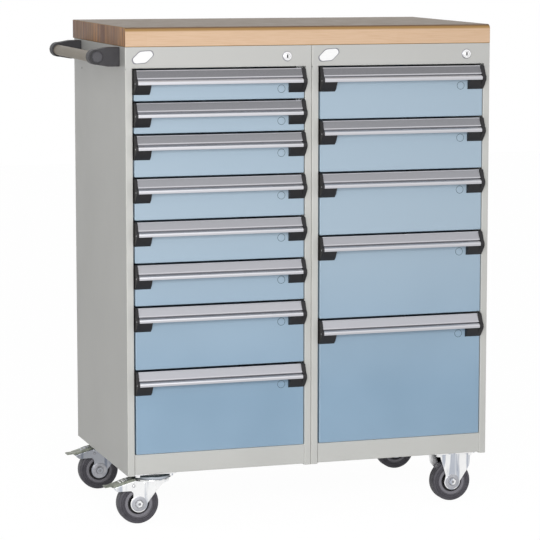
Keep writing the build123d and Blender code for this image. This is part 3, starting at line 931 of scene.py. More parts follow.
@dataclass
class Studio:
    """Camera, plain pale floor, soft lamps and a white surround, in metres and degrees."""

    lens_mm: float = 167.563
    yaw: float = 18.8605
    pitch: float = 7.5324
    roll: float = 0.1943
    shift: tuple[float, float] = (-0.1103, -0.0136)
    place: tuple[float, float, float] = (-1.8580, -5.9365, 1.4137)
    surround: float = 0.37
    half_floor: float = 9.0
    target: tuple[float, float, float] = (0.0, 0.0, 0.6)
    lamps: tuple[tuple[str, Point, float, float], ...] = (("key", (-0.98, -3.7, 1.5), 1.7, 73.0),
                                                          ("fill", (2.2, -4.4, 3.0), 2.4, 2.0))

    def camera(self) -> None:
        """Set the camera where the photograph was taken from."""
        data = bpy.data.cameras.new("camera")
        data.lens, data.sensor_width, data.sensor_fit = self.lens_mm, 36.0, "HORIZONTAL"
        data.clip_end = 100.0
        data.shift_x, data.shift_y = self.shift
        camera = bpy.data.objects.new("camera", data)
        camera.location = self.place
        turns = ((-self.yaw, "Z"), (90 - self.pitch, "X"), (self.roll, "Z"))
        first, second, third = (Matrix.Rotation(math.radians(angle), 3, axis) for angle, axis in turns)
        camera.rotation_euler = (first @ second @ third).to_euler()
        bpy.context.scene.collection.objects.link(camera)
        bpy.context.scene.camera = camera

    def world(self) -> None:
        """White where the camera, a mirror or glass sees it, and a plain level of light elsewhere."""
        world = bpy.data.worlds.new("surround")
        world.use_nodes = True
        net = Net(world.node_tree)
        light = world.node_tree.nodes["Background"].inputs
        light["Color"].default_value = linear("#FFFFFF")
        seen = net.add(Kind.GREATER, net.add(Kind.CAMERA_RAY), net.add(Kind.CLEAR_RAY))
        shine = net.add(Kind.GREATER, seen, net.add(Kind.GLOSSY_RAY))
        net.tree.links.new(net.add(Kind.RANGE, shine, 0.0, 1.0, self.surround, 1.0), light["Strength"])
        bpy.context.scene.world = world

    def lamp(self, name: str, place: Point, size: float, watts: float) -> None:
        """Hang one soft square lamp that faces the middle of the cabinet.

        Args:
            name: Its name.
            place: Where it hangs.
            size: Its width and height.
            watts: Its power.
        """
        data = bpy.data.lights.new(name, "AREA")
        data.shape, data.energy = "RECTANGLE", watts
        data.size = data.size_y = size
        lamp = bpy.data.objects.new(name, data)
        lamp.location = place
        lamp.rotation_euler = (Vector(self.target) - Vector(place)).to_track_quat("-Z", "Y").to_euler()
        bpy.context.scene.collection.objects.link(lamp)

    def floor(self) -> None:
        """Lay the pale floor."""
        mesh = bpy.data.meshes.new("floor")
        reach = (-self.half_floor, self.half_floor)
        mesh.from_pydata([(x, y, 0) for x, y in rectangle(reach, reach)], [], [(0, 1, 2, 3)])
        floor = bpy.data.objects.new("floor", mesh)
        bpy.context.scene.collection.objects.link(floor)
        mesh.materials.append(PAPER.material())

    def build(self) -> None:
        """Set up the whole studio."""
        self.camera()
        self.world()
        for lamp in self.lamps:
            self.lamp(*lamp)
        self.floor()
        bpy.context.scene.view_settings.view_transform = "Standard"
        LOG.info("studio ready")


# The cabinet.


@dataclass
class Housing:
    """One welded housing: folded shell, header, recessed base rail, floor, top and slide uprights."""

    bay: Bay
    sheet: float = 1.5
    floor_sheet: float = 3.0
    bend: float = 2.5
    stile: float = 17.2
    stile_return: float = 12.0
    header: float = 49.8
    base: float = 2 * INCH
    flange: float = 15.0
    rail_recess: float = 0.6
    rail_lift: float = 2.6
    rail_gap: float = 0.4
    relief: tuple[float, float, float] = (2.2, 2.6, 4.0)
    seam: float = 0.45
    upright_setback: float = 20.0
    upright_width: float = 40.0
    finger_rise: float = 68.8
    web_cuts: tuple[float, ...] = (6.0, 10.0, 15.0, 25.0)
    tongue_window: float = 15.1
    finger_window: tuple[float, float] = (15.2, 7.0)
    slot: tuple[float, float] = (12.0, 5.0)
    stop: tuple[float, float] = (182.6, 1072.9)

    def build(self) -> None:
        """Make the shell, its uprights and the small stop on the left side."""
        name = self.bay.value
        low, high = box_mm(f"{name}_housing")
        self.left, self.front, self.bottom = low
        self.right, self.back, self.top = high
        self.in0, self.in1 = self.left + self.stile, self.right - self.stile
        self.opening = self.top - self.header
        self.starts = (self.front + self.upright_setback, self.back - self.upright_setback - self.upright_width)
        self.shape = Shape()
        self.shell()
        self.rails()
        self.uprights()
        self.lock_web()
        self.shape.keep(f"{name}_housing_shell", [HOUSING_ENAMEL], nodes=[f"{name}_housing"])
        self.slotted_uprights()
        if self.bay is Bay.LEFT:
            stop = Shape()
            stop.turned([(0.5, 0.0), (0.5, 2.4), (-0.3, 2.4), (-0.6, 1.8), (-0.6, 0.0)], (self.left, *self.stop),
                        Way.X, 16)
            stop.keep("side_rivets", [STOP_RUBBER])

    def shell(self) -> None:
        """Wrap side, back and stiles in one folded sheet, notched under the header, with a floor."""
        shape, t, y0, y1 = self.shape, self.sheet, self.front, self.back
        x0 = self.left + (self.seam if self.bay is Bay.RIGHT else 0.0)
        x1 = self.right - (self.seam if self.bay is Bay.LEFT else 0.0)
        wide, tall, deep = self.relief
        lip, edge = y0 + self.stile_return, self.opening + self.bend
        wrap = [(self.in0, lip), (self.in0, y0), (x0, y0), (x0, y1), (x1, y1), (x1, y0), (self.in1, y0),
                (self.in1, lip)]
        section = folded(wrap, -t, self.bend)
        notch = (self.opening - tall, self.opening)
        shape.prism(section, Way.Z, self.bottom, notch[0])
        shape.prism(section, Way.Z, self.opening, edge)
        for outer, inner, way in ((x0, self.in0, 1), (x1, self.in1, -1)):
            shape.block(sorted((outer + way * wide, inner)), (y0, y0 + t), notch)
            shape.block(sorted((inner - way * t, inner)), (y0, lip), notch)
            shape.block(sorted((outer, outer + way * t)), (y0 + deep, y1), notch)
        shape.block((x0, x1), (y1 - t, y1), notch)
        self.tube(rounded(rectangle((x0, x1), (y0, y1)), dict.fromkeys(range(4), self.bend)),
                  rectangle((x0 + t, x1 - t), (y0 + t, y1 - t)), edge)
        shape.block((self.left + t, self.right - t), (y0 + t + self.flange, y1 - t),
                    (self.bottom, self.bottom + self.floor_sheet))

    def tube(self, outer: Sequence[Point], inner: Sequence[Point], low: float) -> None:
        """Close the header band: outer wall all round, top sheet, and the inner wall below it.

        Args:
            outer: Outline of the outer wall, with its four corners rounded.
            inner: The four corners of the inner wall.
            low: Lower edge of the band.
        """
        shape, cut, steps = self.shape, self.top - self.sheet, len(outer) // 4
        shape.prism(outer, Way.Z, cut, self.top)
        walls, within = ([shape.ring((u, v, z) for u, v in line) for z in (low, cut)] for line in (outer, inner))
        shape.band(*walls)
        shape.band(*within)
        for wall, corners in zip(walls, within):
            for i in range(4):
                bow = wall[i * steps:(i + 1) * steps]
                for a, b in zip(bow, bow[1:]):
                    shape.face((a, b, corners[i]))
                shape.face((bow[-1], wall[(i + 1) * steps % len(wall)], corners[(i + 1) % 4], corners[i]))

    def rails(self) -> None:
        """Fold the header's lower edge and the base rail between the stiles."""
        y, t, opening = self.front, self.sheet, self.opening
        lip = [(y, opening + self.bend), (y, opening), (y + self.flange, opening)]
        self.shape.prism(folded(lip, t, self.bend), Way.X, self.in0 - t, self.in1 + t)
        face = y + self.rail_recess
        low, high = self.bottom + self.rail_lift, self.bottom + self.base
        rail = [(face + self.flange, low), (face, low), (face, high), (face + self.flange, high)]
        self.shape.prism(folded(rail, -t, self.bend), Way.X, self.in0 + self.rail_gap, self.in1 - self.rail_gap)
        self.shape.block((self.in0 - t, self.in1 + t), (y + self.flange - t, y + self.flange),
                         (low + t, high - t))

    def uprights(self) -> None:
        """Fold the flanges of the four uprights."""
        t = self.sheet
        self.tall = (self.bottom + self.floor_sheet, self.top - t)
        for y in self.starts:
            for outer, edge in ((self.left + t, self.in0), (self.right - t, self.in1)):
                for flange in (y, y + self.upright_width - t):
                    self.shape.block(sorted((outer, edge)), (flange, flange + t), self.tall)

    def lock_web(self) -> None:
        """The web with a window for each finger of the lock bar and a slot for its tongue."""
        middle, bay = self.top - INCH, self.bay
        cuts = [self.starts[0] + cut
                for cut in (self.sheet, *self.web_cuts, self.upright_width - self.sheet)]
        fingers = [box_mm(f"{bay.value}_drawer_{number}")[0].z + self.finger_rise
                   for number in range(DRAWERS[bay], 0, -1)]
        under, over = self.finger_window
        holes = {1: [(middle - self.tongue_window, middle + self.tongue_window)],
                 3: [(z - under, z + over) for z in fingers]}
        for number, y in enumerate(zip(cuts, cuts[1:])):
            base = self.tall[0]
            for low, high in holes.get(number, []) + [(self.tall[1], 0.0)]:
                self.shape.block((self.in1, self.in1 + self.sheet), y, (base, low))
                base = high

    def slotted_uprights(self) -> None:
        """Grow the slotted webs of the other three uprights."""
        t, (front, rear) = self.sheet, self.starts
        shared = {"Length": (self.top - self.bottom - t - self.floor_sheet) * MM, "Thickness": t * MM,
                  "Height": (self.upright_width - 2 * t) * MM, "Pitch": INCH * MM,
                  "Slot Length": self.slot[0] * MM, "Slot Height": self.slot[1] * MM}
        for key, rows, x, y in (("left", 2, self.in0, front), ("rear", 1, self.in1 + t, rear)):
            SHEET.keep(f"{self.bay.value}_slotted_uprights_{key}", HOUSING_ENAMEL, "root",
                       basis((0, 0, 1), (0, 1, 0), (x, y + t, self.tall[0])),
                       {**shared, "Rows": rows, "Row Distance": (rear - front) * MM})


@dataclass
class Badge:
    """A blank badge near the left end of each header: a slanted lozenge with a thin grey rim."""

    bay: Bay
    place: tuple[float, float] = (42.4, 23.4)
    rim: float = 1.3
    rim_proud: float = 1.0
    proud: float = 1.8
    corners: tuple[Point, ...] = ((-8.0, 14.4), (23.0, 16.4), (27.6, 4.6), (8.0, -14.4), (-23.0, -16.4),
                                  (-27.6, -4.6))
    radii: tuple[float, ...] = (14.0, 8.0, 6.5, 14.0, 8.0, 6.5)
    half_width: float = 14.0
    half_height: float = 12.0

    def build(self) -> None:
        """Set the badge on its header."""
        low, high = box_mm(f"{self.bay.value}_housing")
        middle = (low.x + self.place[0], high.z - self.place[1])
        for part, inset, proud, finish in (("rim", 0.0, self.rim_proud, BADGE_RIM),
                                           ("face", self.rim, self.proud, BADGE_ENAMEL)):
            across, up = 1 - inset / self.half_width, 1 - inset / self.half_height
            points = [(middle[0] + x * across, middle[1] + z * up) for x, z in self.corners]
            shape = Shape()
            shape.prism(rounded(points, dict(enumerate(self.radii)), 5), Way.Y, low.y - proud, low.y)
            shape.keep(f"{self.bay.value}_badge_{part}", [finish], bevel=0.4)


@dataclass
class Lock:
    """A cam lock: chromed rosette on a grey washer of painted shade, turning plug with a key slot, cam and pin."""

    bay: Bay
    inset: float = 62.0
    rosette: float = 10.5
    proud: float = 4.2
    washer: float = 12.0
    bore: float = 6.6
    plug: float = 6.4
    pin_reach: float = 10.0
    slot: tuple[float, float] = (1.7, 4.1)
    cam_turn: float = 45.0

    def build(self) -> None:
        """Turn the rosette, its washer and the plug."""
        self.name = self.bay.value
        low, high = box_mm(f"{self.name}_housing")
        self.x, self.y, self.z = centre = (high.x - self.inset, low.y, high.z - INCH)
        proud = self.proud
        shape = Shape()
        shape.turned([(22.0, self.bore), (22.0, 9.0), (0.0, 9.0), (0.0, self.rosette),
                      (0.7 - proud, self.rosette), (0.1 - proud, self.rosette - 0.5),
                      (-proud, self.rosette - 1.2), (-proud, self.bore + 0.3), (0.3 - proud, self.bore)],
                     centre, Way.Y, 56, closed=True)
        shape.keep(f"{self.name}_lock_rosette", [LOCK_CHROME],
                   nodes=["lock_barrels"] if self.bay is Bay.LEFT else [])
        # The grey washer under the rosette: painted shade round its edge.
        under = Shape()
        under.turned([(-0.1, 9.2), (-0.1, self.washer), (-0.9, self.washer), (-1.3, self.washer - 0.4),
                      (-1.3, 9.2)], centre, Way.Y, closed=True)
        under.keep(f"{self.name}_lock_washer", [WASHER_SHADE])
        self.turning()

    def turning(self) -> None:
        """The plug with its key slot, the cam and its pin."""
        shape, face, body = Shape(), 0.3 - self.proud, f"{self.name}_lock_plug"
        shape.turned([(22.0, 0.0), (22.0, self.plug), (face + 0.5, self.plug), (face, self.plug - 0.5),
                      (face, 0.0)], (self.x, self.y, self.z), Way.Y)
        turn = math.radians(self.cam_turn)
        along, across = Vector((math.cos(turn), math.sin(turn))), Vector((-math.sin(turn), math.cos(turn)))
        middle = Vector((self.x, self.z))
        cam = [middle + along * u + across * v
               for u, v in ((-4.5, -2.5), (-2.5, -4.5), (12.5, -4.5), (14.5, -2.5), (14.5, 2.5), (12.5, 4.5),
                            (-2.5, 4.5), (-4.5, 2.5))]
        shape.prism(cam, Way.Y, self.y + 22.05, self.y + 25.05)
        pin = middle + along * self.pin_reach
        shape.turned([(25.0, 0.0), (25.0, 2.5), (30.4, 2.5), (31.0, 1.9), (31.0, 0.0)], (pin.x, self.y, pin.y),
                     Way.Y, 24)
        shape.keep(f"{self.name}_lock_cylinder", [LOCK_CHROME], body, [body])
        # A black block in the key slot: painted shade for the slot's depth.
        slot, (wide, tall), face = Shape(), self.slot, face + self.y
        slot.block((self.x - wide, self.x + wide), (face - 0.12, face + 1.0), (self.z - tall, self.z + tall))
        slot.keep(f"{self.name}_lock_key_slot_shade", [BLACK_NYLON], body, slot=False, bevel=0.1)


@dataclass
class Drawer:
    """One drawer: rounded boxed front with its hole plug, slotted tray, catch and drawer slide members."""

    bay: Bay
    number: int
    front_depth: float = 18.0
    front_drop: float = 4.6
    tray_inset: float = 9.7
    tray_sheet: float = 1.2
    hem: float = 8.0
    rise: float = 6.8
    headroom: float = 14.8
    hem_drop: float = 5.0
    slot_width: float = 2.5
    slot_margin: float = 24.0
    slot_least: float = 12.0
    catch: tuple[float, float] = (8.7, 6.0)
    catch_at: tuple[float, float] = (51.0, 46.0)
    slide_length: float = 480.0
    slide_half: float = 19.3
    slide_at: tuple[float, float] = (23.0, 22.5)
    plug_inset: float = 57.0
    plug_drop: float = 50.0
    plug_radius: float = 8.6

    def build(self) -> None:
        """Make the front, the tray and what moves with them."""
        self.name = f"{self.bay.value}_drawer_{self.number}"
        self.low, self.high = low, high = box_mm(self.name)
        self.x = (low.x + self.tray_inset, high.x - self.tray_inset)
        self.y = (low.y + self.front_depth, high.y)
        self.z = (low.z + self.rise, high.z - self.headroom)
        front = Shape()
        front.block((low.x, high.x), (low.y, self.y[0]), (low.z, high.z - self.front_drop))
        front.keep(f"{self.name}_front", [DRAWER_ENAMEL], self.name, [self.name], bevel=2.2, steps=3)
        self.tray()
        self.walls()
        self.slides()
        self.hole_plug()

    def tray(self) -> None:
        """Bottom, front and back walls, the hems round the rim and the catch for the lock bar."""
        x, y, z, t = self.x, self.y, self.z, self.tray_sheet
        shape = Shape()
        shape.block(x, y, (z[0], z[0] + t))
        for start in (y[0], y[1] - t):
            shape.block(x, (start, start + t), z)
        for side, way in ((x[0], 1), (x[1], -1)):
            edge = side + way * self.hem
            hem = [(side, z[1] - self.hem_drop), (side, z[1]), (edge, z[1]), (edge, z[1] - 4)]
            shape.prism(folded(hem, -way * t, 1.6, 3), Way.Y, y[0] + t, y[1] - t)
        reach, size = self.catch
        start, low = self.low.y + self.catch_at[0], z[0] + self.catch_at[1]
        shape.block((x[1], x[1] + reach), (start, start + size), (low, low + size))
        shape.keep(f"{self.name}_tray", [DRAWER_ENAMEL], self.name)

    def walls(self) -> None:
        """Grow the two slotted side walls."""
        x, y, z, t = self.x, self.y, self.z, self.tray_sheet
        height = z[1] - z[0] - t - self.hem_drop
        SHEET.keep(f"{self.name}_side_walls", DRAWER_ENAMEL, self.name,
                   basis((0, 1, 0), (0, 0, 1), (x[0], y[0] + t, z[0] + t)), {
                       "Length": (y[1] - y[0] - 2 * t) * MM, "Height": height * MM, "Thickness": t * MM,
                       "Slot Length": self.slot_width * MM, "Walls": 2,
                       "Slot Height": max(height - self.slot_margin, self.slot_least) * MM,
                       "Wall Distance": (x[1] - x[0] - t) * MM})

    def slides(self) -> None:
        """The two slide members fixed to the tray."""
        start, middle = self.low.y + self.slide_at[0], self.z[0] + self.slide_at[1]
        low, high = middle - self.slide_half, middle + self.slide_half
        shape = Shape()
        for web, way in zip(self.x, (-1, 1)):
            tip = web + way * self.catch[0]
            shape.prism(folded([(tip, low), (web, low), (web, high), (tip, high)], -way * 1.2, 1.5, 3), Way.Y,
                        start, start + self.slide_length)
        shape.keep(f"{self.name}_slide_members", [ZINC], self.name)

    def hole_plug(self) -> None:
        """The round plug near the right end: a flat disc inside a thin dark ring, painted shade for the gap round
        it.
        """
        centre, r = (self.high.x - self.plug_inset, self.low.y, self.high.z - self.plug_drop), self.plug_radius
        shape = Shape()
        shape.turned([(0.4, 0.0), (0.4, r), (-0.3, r), (-0.6, r - 0.4), (-0.6, 0.0)], centre, Way.Y, 40)
        # The thin dark ring: painted shade in the gap round the plug.
        shape.finish = 1
        shape.turned([(0.4, r), (0.4, r + 1.0), (-0.12, r + 1.0), (-0.12, r)], centre, Way.Y, 40, closed=True)
        shape.keep(f"{self.name}_hole_plug", [DRAWER_ENAMEL, GAP_SHADE_RING], self.name)


@dataclass
class Pull:
    """A full-width pull: extrusion with a label channel, blank card, and a moulded cap at each end."""

    bay: Bay
    number: int
    cap: tuple[float, float] = (4.3, 8.8)
    lug: tuple[float, float] = (37.0, 39.5)
    wrap: float = 1.2
    wrap_deep: float = 14.0
    channel_deep: float = 0.9
    strips: tuple[float, float] = (1.9, 3.2)
    label_gap: float = 1.2
    height: float = 59.0
    pin: tuple[float, float] = (16.0, 32.0)
    slope_start: tuple[float, float] = (5.0, 1.6)
    slope_end: tuple[float, float] = (16.6, 21.6)

    def build(self) -> None:
        """Make the rail, the card and the caps."""
        self.body, self.name = (f"{self.bay.value}_{part}_{self.number}" for part in ("drawer", "pull"))
        self.low, self.high = box_mm(self.body)
        fall = Vector(self.slope_end) - Vector(self.slope_start)
        self.slope, self.way = fall.length, fall.normalized()
        self.rail()
        self.card()
        self.caps()

    def place(self, points: Sequence[Point]) -> Outline:
        """Turn (out, down) into (Y, Z) at this drawer."""
        return [(self.low.y - out, self.high.z - down) for out, down in points]

    def on_slope(self, along: float, deep: float) -> Vector:
        """A point on the label face, at a distance down it and a depth under it."""
        return Vector(self.slope_start) + self.way * along - Vector((self.way.y, -self.way.x)) * deep

    def rail(self) -> None:
        """The extrusion, its nose and small edges rounded, with its groove in a darker tone that is painted shade.
        """
        deep, first, last = self.channel_deep, self.strips[0], self.slope - self.strips[1]
        points = [(0, 1.6), self.slope_start, self.on_slope(first, 0), self.on_slope(first, deep),
                  self.on_slope(last, deep), self.on_slope(last, 0), self.slope_end, (11.5, 22.2), (11.5, 24.8),
                  (18.4, 24.8), (22.4, 27.6), (23.2, 30.2), (22.8, 35.2), (19.8, 35.2), (20.2, 30.4), (17.8, 26.8),
                  (9.7, 26.8), (9.7, 20.6), (13.6, 20.6), (3.9, 3.6), (1.6, 3.6), (1.6, 30), (0, 30)]
        radii = {1: 0.8, 6: 0.6, 9: 0.9, 10: 2.0, 11: 1.6, 12: 0.7, 13: 0.7}
        shape = Shape()
        shape.prism(rounded(self.place(points), radii), Way.X, self.low.x + self.cap[0],
                    self.high.x - self.cap[1])
        shape.mesh.normal_update()
        # Faces inside the groove take the darker tone, painted shade.
        for face in shape.mesh.faces:
            middle = face.calc_center_median()
            out, down = self.low.y - middle.y, self.high.z - middle.z
            if abs(face.normal.x) < 0.5 and 9.0 < out < 17.2 and 21.8 < down < 26.9:
                face.material_index = 1
        shape.keep(f"{self.name}_rail", [PULL_METAL, GROOVE_SHADE], self.body, [self.name], sharp=28)

    def card(self) -> None:
        """The blank card in the channel."""
        deep, first, last = self.channel_deep, self.strips[0] + 0.2, self.slope - self.strips[1] - 0.2
        points = [self.on_slope(*p) for p in ((first, deep), (first, 0.3), (last, 0.3), (last, deep))]
        shape = Shape()
        shape.prism(self.place(points), Way.X, self.low.x + self.cap[0] + self.label_gap,
                    self.high.x - self.cap[1] - self.label_gap)
        shape.keep(f"{self.name}_label_card", [CARD], self.body, bevel=0.12)

    def caps(self) -> None:
        """The moulded caps: a cheek over the rail's end, a plate round the front's side, a lug under the
        lip, and the end of a pin."""
        foot = [(10.5, 51), (1.2, self.height), (0, self.height)]
        cheek = rounded(self.place([(0, 0), (8.6, 2.5), (17.4, 21.5), (23, 26.5), (24, 31), (23.5, 35),
                                    (21.6, 38.2), *foot]), {1: 3.0, 2: 3.0, 3: 3.0, 6: 1.0}, 3)
        lug = self.place([(1.8, 35.4), (20.4, 35.4), *foot, (0, 35.4)])
        shape, pins = Shape(), Shape()
        for tip, way, cap, reach in zip((self.low.x, self.high.x), (1, -1), self.cap, self.lug):
            outer = tip - way * self.wrap
            shape.prism(cheek, Way.X, *sorted((outer, tip + way * cap)))
            shape.prism(lug, Way.X, *sorted((tip + way * (cap - 0.6), tip + way * reach)))
            shape.block(sorted((outer, tip)), (self.low.y - 0.5, self.low.y + self.wrap_deep),
                        (self.high.z - self.height, self.high.z - 0.6))
            pins.turned([(-0.5, 0.0), (-0.5, 2.0), (0.15, 2.0), (0.35, 1.6), (0.35, 0.0)],
                        (outer, *self.place([self.pin])[0]), Way.X, 16, side=-way)
        shape.keep(f"{self.name}_end_caps", [BLACK_NYLON], self.body, bevel=0.6)
        pins.keep(f"{self.name}_cap_pins", [PULL_METAL], self.body, slot=False)


@dataclass
class Worktop:
    """The laminated top: rolled front edge, staves drawn by its finish."""

    edge: float = 12.0
    ease: float = 2.0

    def build(self) -> None:
        """Draw the slab out along X and ease its other edges."""
        low, high = box_mm("worktop")
        shape = Shape()
        shape.prism(rounded(rectangle(*zip(low.yz, high.yz)), {3: self.edge}, 12), Way.X, low.x, high.x)
        shape.keep("worktop_slab", [WOOD], nodes=["worktop"], bevel=self.ease, steps=3)


@dataclass
class PushHandle:
    """The push bar on the left side, with two moulded brackets and the plugs in the bar's ends."""

    bar: float = 12.7
    eye: float = 17.8
    plug: float = 13.4
    plug_proud: float = 3.5
    bracket: float = 30.0
    base: float = 45.0
    shoulder: float = 28.0
    fillet: float = 9.0
    inset: float = 2.0
    tube_shift: tuple[float, float] = (1.0, 1.0)
    eye_shift: tuple[float, float] = (2.2, 2.0)
    plug_shift: tuple[float, float] = (5.0, 2.3)

    def build(self) -> None:
        """Make the tube, the brackets and the plugs."""
        low, high = box_mm("push_bar")
        near, far = low.y, high.y
        middle = middle_mm("push_bar")
        (tube_x, tube_z), (x, z), (plug_x, plug_z) = (
            (middle[0] + u, middle[2] + v) for u, v in (self.tube_shift, self.eye_shift, self.plug_shift))
        tube = Shape()
        start, stop = near + self.inset, far - self.inset
        tube.turned([(start, 0.0), (start, self.bar), (stop, self.bar), (stop, 0.0)], (tube_x, 0, tube_z), Way.Y)
        tube.keep("push_bar_tube", [BAR_ENAMEL], nodes=["push_bar"])
        wall, half = box_mm("push_bar_brackets")[1].x, self.base / 2
        arm = [(wall, z - half), (wall, z + half), (wall - self.shoulder, z + half),
               *arc(self.eye, 84, 192, 24, (x, z)), (wall - self.shoulder, z - half)]
        arm = rounded(arm, {2: self.fillet, len(arm) - 1: self.fillet}, 5)
        brackets, plugs = Shape(), Shape()
        for start in (near, far - self.bracket):
            brackets.prism(arm, Way.Y, start, start + self.bracket)
        brackets.keep("push_bar_bracket_mouldings", [BRACKET_NYLON], nodes=["push_bar_brackets"], bevel=1.4,
                      steps=3)
        r, out = self.plug, self.plug_proud
        for end, way in ((near, -1), (far, 1)):
            plugs.turned([(-6, 0.0), (-6, 11.0), (0, 11.0), (0, r), (2.2, r), (out, r - 1.2), (out, r - 1.8),
                          (2.8, r - 2.4), (2.8, 0.0)], (plug_x, end, plug_z), Way.Y, side=way)
            # An off-centre dark ring at each plug's base: painted shade where the plug meets the bracket.
            plugs.finish = 1
            plugs.turned([(-0.5, r), (0.5, r), (0.5, r + 2.6), (-0.5, r + 2.6)],
                         (plug_x - 1.6, end, plug_z - 0.3), Way.Y, closed=True, side=way)
            plugs.finish = 0
        plugs.keep("push_bar_end_plugs", [PLUG_NYLON, BLACK_NYLON])


@dataclass
class Wheel:
    """A caster wheel: tyre with moulded sidewall grooves and ribbed tread, dark rim with a grey flange."""

    end: End
    side: Side
    grooves: tuple[float, float] = (37.5, 42.0)
    rib_radius: float = 49.4
    rib_length: float = 22.0

    def build(self) -> None:
        """Turn the tyre and the rim, and grow the tread's ribs."""
        node = f"{self.end.value}_{self.side.value}_wheel"
        centre = middle_mm(node)
        wall = [(-14.2, 32.4), (-14.8, 33.0), (-15.4, 33.6), (-15.8, 35.4)]
        for groove in self.grooves:
            wall += [(-16.0, groove - 1.3), (-14.9, groove - 0.4), (-14.9, groove + 0.4), (-16.0, groove + 1.3)]
        wall += [(-15.9, 45.0), (-15.5, 47.0), (-14.5, 48.5), (-12.6, 49.3), (-6.0, 49.5)]
        tyre, rim = Shape(), Shape()
        tyre.turned(mirrored(wall), centre, Way.Y, 96, closed=True)
        tyre.keep(f"{node}_tyre", [RUBBER], node, [node], sharp=50)
        hub = [(-14.8, 5.1), (-17.0, 5.1), (-17.0, 9.0), (-15.2, 10.5), (-14.0, 20.6), (-9.0, 21.4), (-9.0, 26.4)]
        rim.turned(mirrored(hub), centre, Way.Y, 72, closed=True)
        rim.finish = 1
        for side in (-1, 1):
            rim.turned([(9.0, 26.0), (14.8, 26.4), (15.4, 27.0), (15.4, 32.0), (14.9, 33.2), (9.0, 33.2)], centre,
                       Way.Y, 72, closed=True, side=side)
        rim.keep(f"{node}_rim", [BLACK_NYLON, RIM_NYLON], node)
        RIBS.keep(f"{node}_tread_ribs", RUBBER, node, basis((1, 0, 0), (0, 0, -1), centre),
                  {"Radius": self.rib_radius * MM, "Rib Length": self.rib_length * MM})


@dataclass
class Caster:
    """What the swivel and rigid casters share: plate, bolts, axle and pressed legs."""

    end: End
    plate: tuple[float, float, float] = (105.0, 85.0, 3.0)
    gauge: float = 3.0
    inner: float = 17.3
    boss: float = 21.0
    head: float = 8.5

    def measure(self, side: Side, node: str) -> None:
        """Find the wheel's middle, the housing's underside and the outside of the legs.

        Args:
            side: Which caster it is.
            node: The CAD node with the top plate.
        """
        self.x, self.y, self.z = middle_mm(f"{self.end.value}_{side.value}_wheel")
        self.top = box_mm(node)[1].z
        self.under = self.top - self.plate[2]
        self.reach = self.inner + self.gauge

    def at(self, points: Sequence[Point]) -> Outline:
        """Move (X, Z) points to the wheel's middle."""
        return [(self.x + u, self.z + v) for u, v in points]

    def legs(self, shape: Shape, outline: Sequence[Point]) -> None:
        """Both legs of a fork."""
        for start in (self.y - self.reach, self.y + self.inner):
            shape.prism(outline, Way.Y, start, start + self.gauge)

    def ribs(self, shape: Shape, lines: Sequence[tuple[Point, Point, float]]) -> None:
        """Pressed ribs on the outside of both legs.

        Args:
            shape: Where they go.
            lines: Lower end, upper end and width of each rib, in (X, Z) from the wheel's middle.
        """
        for first, second, width in lines:
            a, b = (Vector(p) for p in self.at((first, second)))
            way = (b - a).normalized()
            across = Vector((-way.y, way.x))
            for side in (-1, 1):
                rings = []
                for deep, wide in ((-0.4, 0.5), (0.7, 0.42), (1.3, 0.2)):
                    spots = [base + (across * u + way * v) * (push * width * wide)
                             for base, push in ((a, -1), (b, 1)) for u, v in arc(1.0, 0, 180, 6)]
                    rings.append(shape.ring((spot.x, self.y + side * (self.reach + deep), spot.y)
                                            for spot in spots))
                for low, high in zip(rings, rings[1:]):
                    shape.band(low, high)
                shape.face(rings[0])
                shape.face(rings[-1])

    def axle(self, shape: Shape) -> None:
        """The axle bolt: round shank, hexagon head and nut, each on a washer and the leg's raised boss.

        Args:
            shape: Where it goes.
        """
        reach, centre = self.reach, (self.x, self.y, self.z)
        half = [(0.9, 0.0), (0.9, 17.0), (0.0, 18.6), (-0.5, 18.6), (-0.5, 5.0)]
        shape.finish = 2
        shape.turned(mirrored([(-reach - a, b) for a, b in half]), centre, Way.Y)
        for side in (-1, 1):
            shape.finish = 0
            start, end = (self.y + side * (reach + out) for out in (1.0, 5.0))
            shape.prism(arc(self.head, 12, 300, 5, (self.x, self.z)), Way.Y, *sorted((start, end)))
            # The washer under each head and a disc on its face, in darker grey: painted shade.
            shape.finish = 1
            shape.turned([(reach + 0.8, 8.0), (reach + 1.4, 8.4), (reach + 1.4, 10.4), (reach + 0.8, 10.8)],
                         centre, Way.Y, 32, closed=True, side=side)
            shape.turned([(reach + 4.8, 0.0), (reach + 4.8, 3.4), (reach + 5.15, 3.4), (reach + 5.15, 0.0)],
                         centre, Way.Y, 20, side=side)
        shape.finish = 0

    def mount(self, kind: str, node: str, x: float) -> None:
        """Set the rounded top plate and grow its four bolts.

        Args:
            kind: How the pieces are named.
            node: The CAD node that the front plate stands for.
            x: Middle of the plate.
        """
        half_x, half_y = self.plate[0] / 2, self.plate[1] / 2
        corners = rectangle((x - half_x, x + half_x), (self.y - half_y, self.y + half_y))
        shape = Shape()
        shape.prism(rounded(corners, dict.fromkeys(range(4), 6.0), 6), Way.Z, self.under, self.top)
        shape.keep(f"{self.end.value}_{kind}_top_plate", [CASTER_ZINC],
                   nodes=[node] if self.end is End.FRONT else [], bevel=0.5)
        BOLTS.keep(f"{self.end.value}_{kind}_plate_bolts", CASTER_ZINC, "root",
                   basis((1, 0, 0), (0, -1, 0), (x, self.y, self.under)), {"Washer": 0.0075})


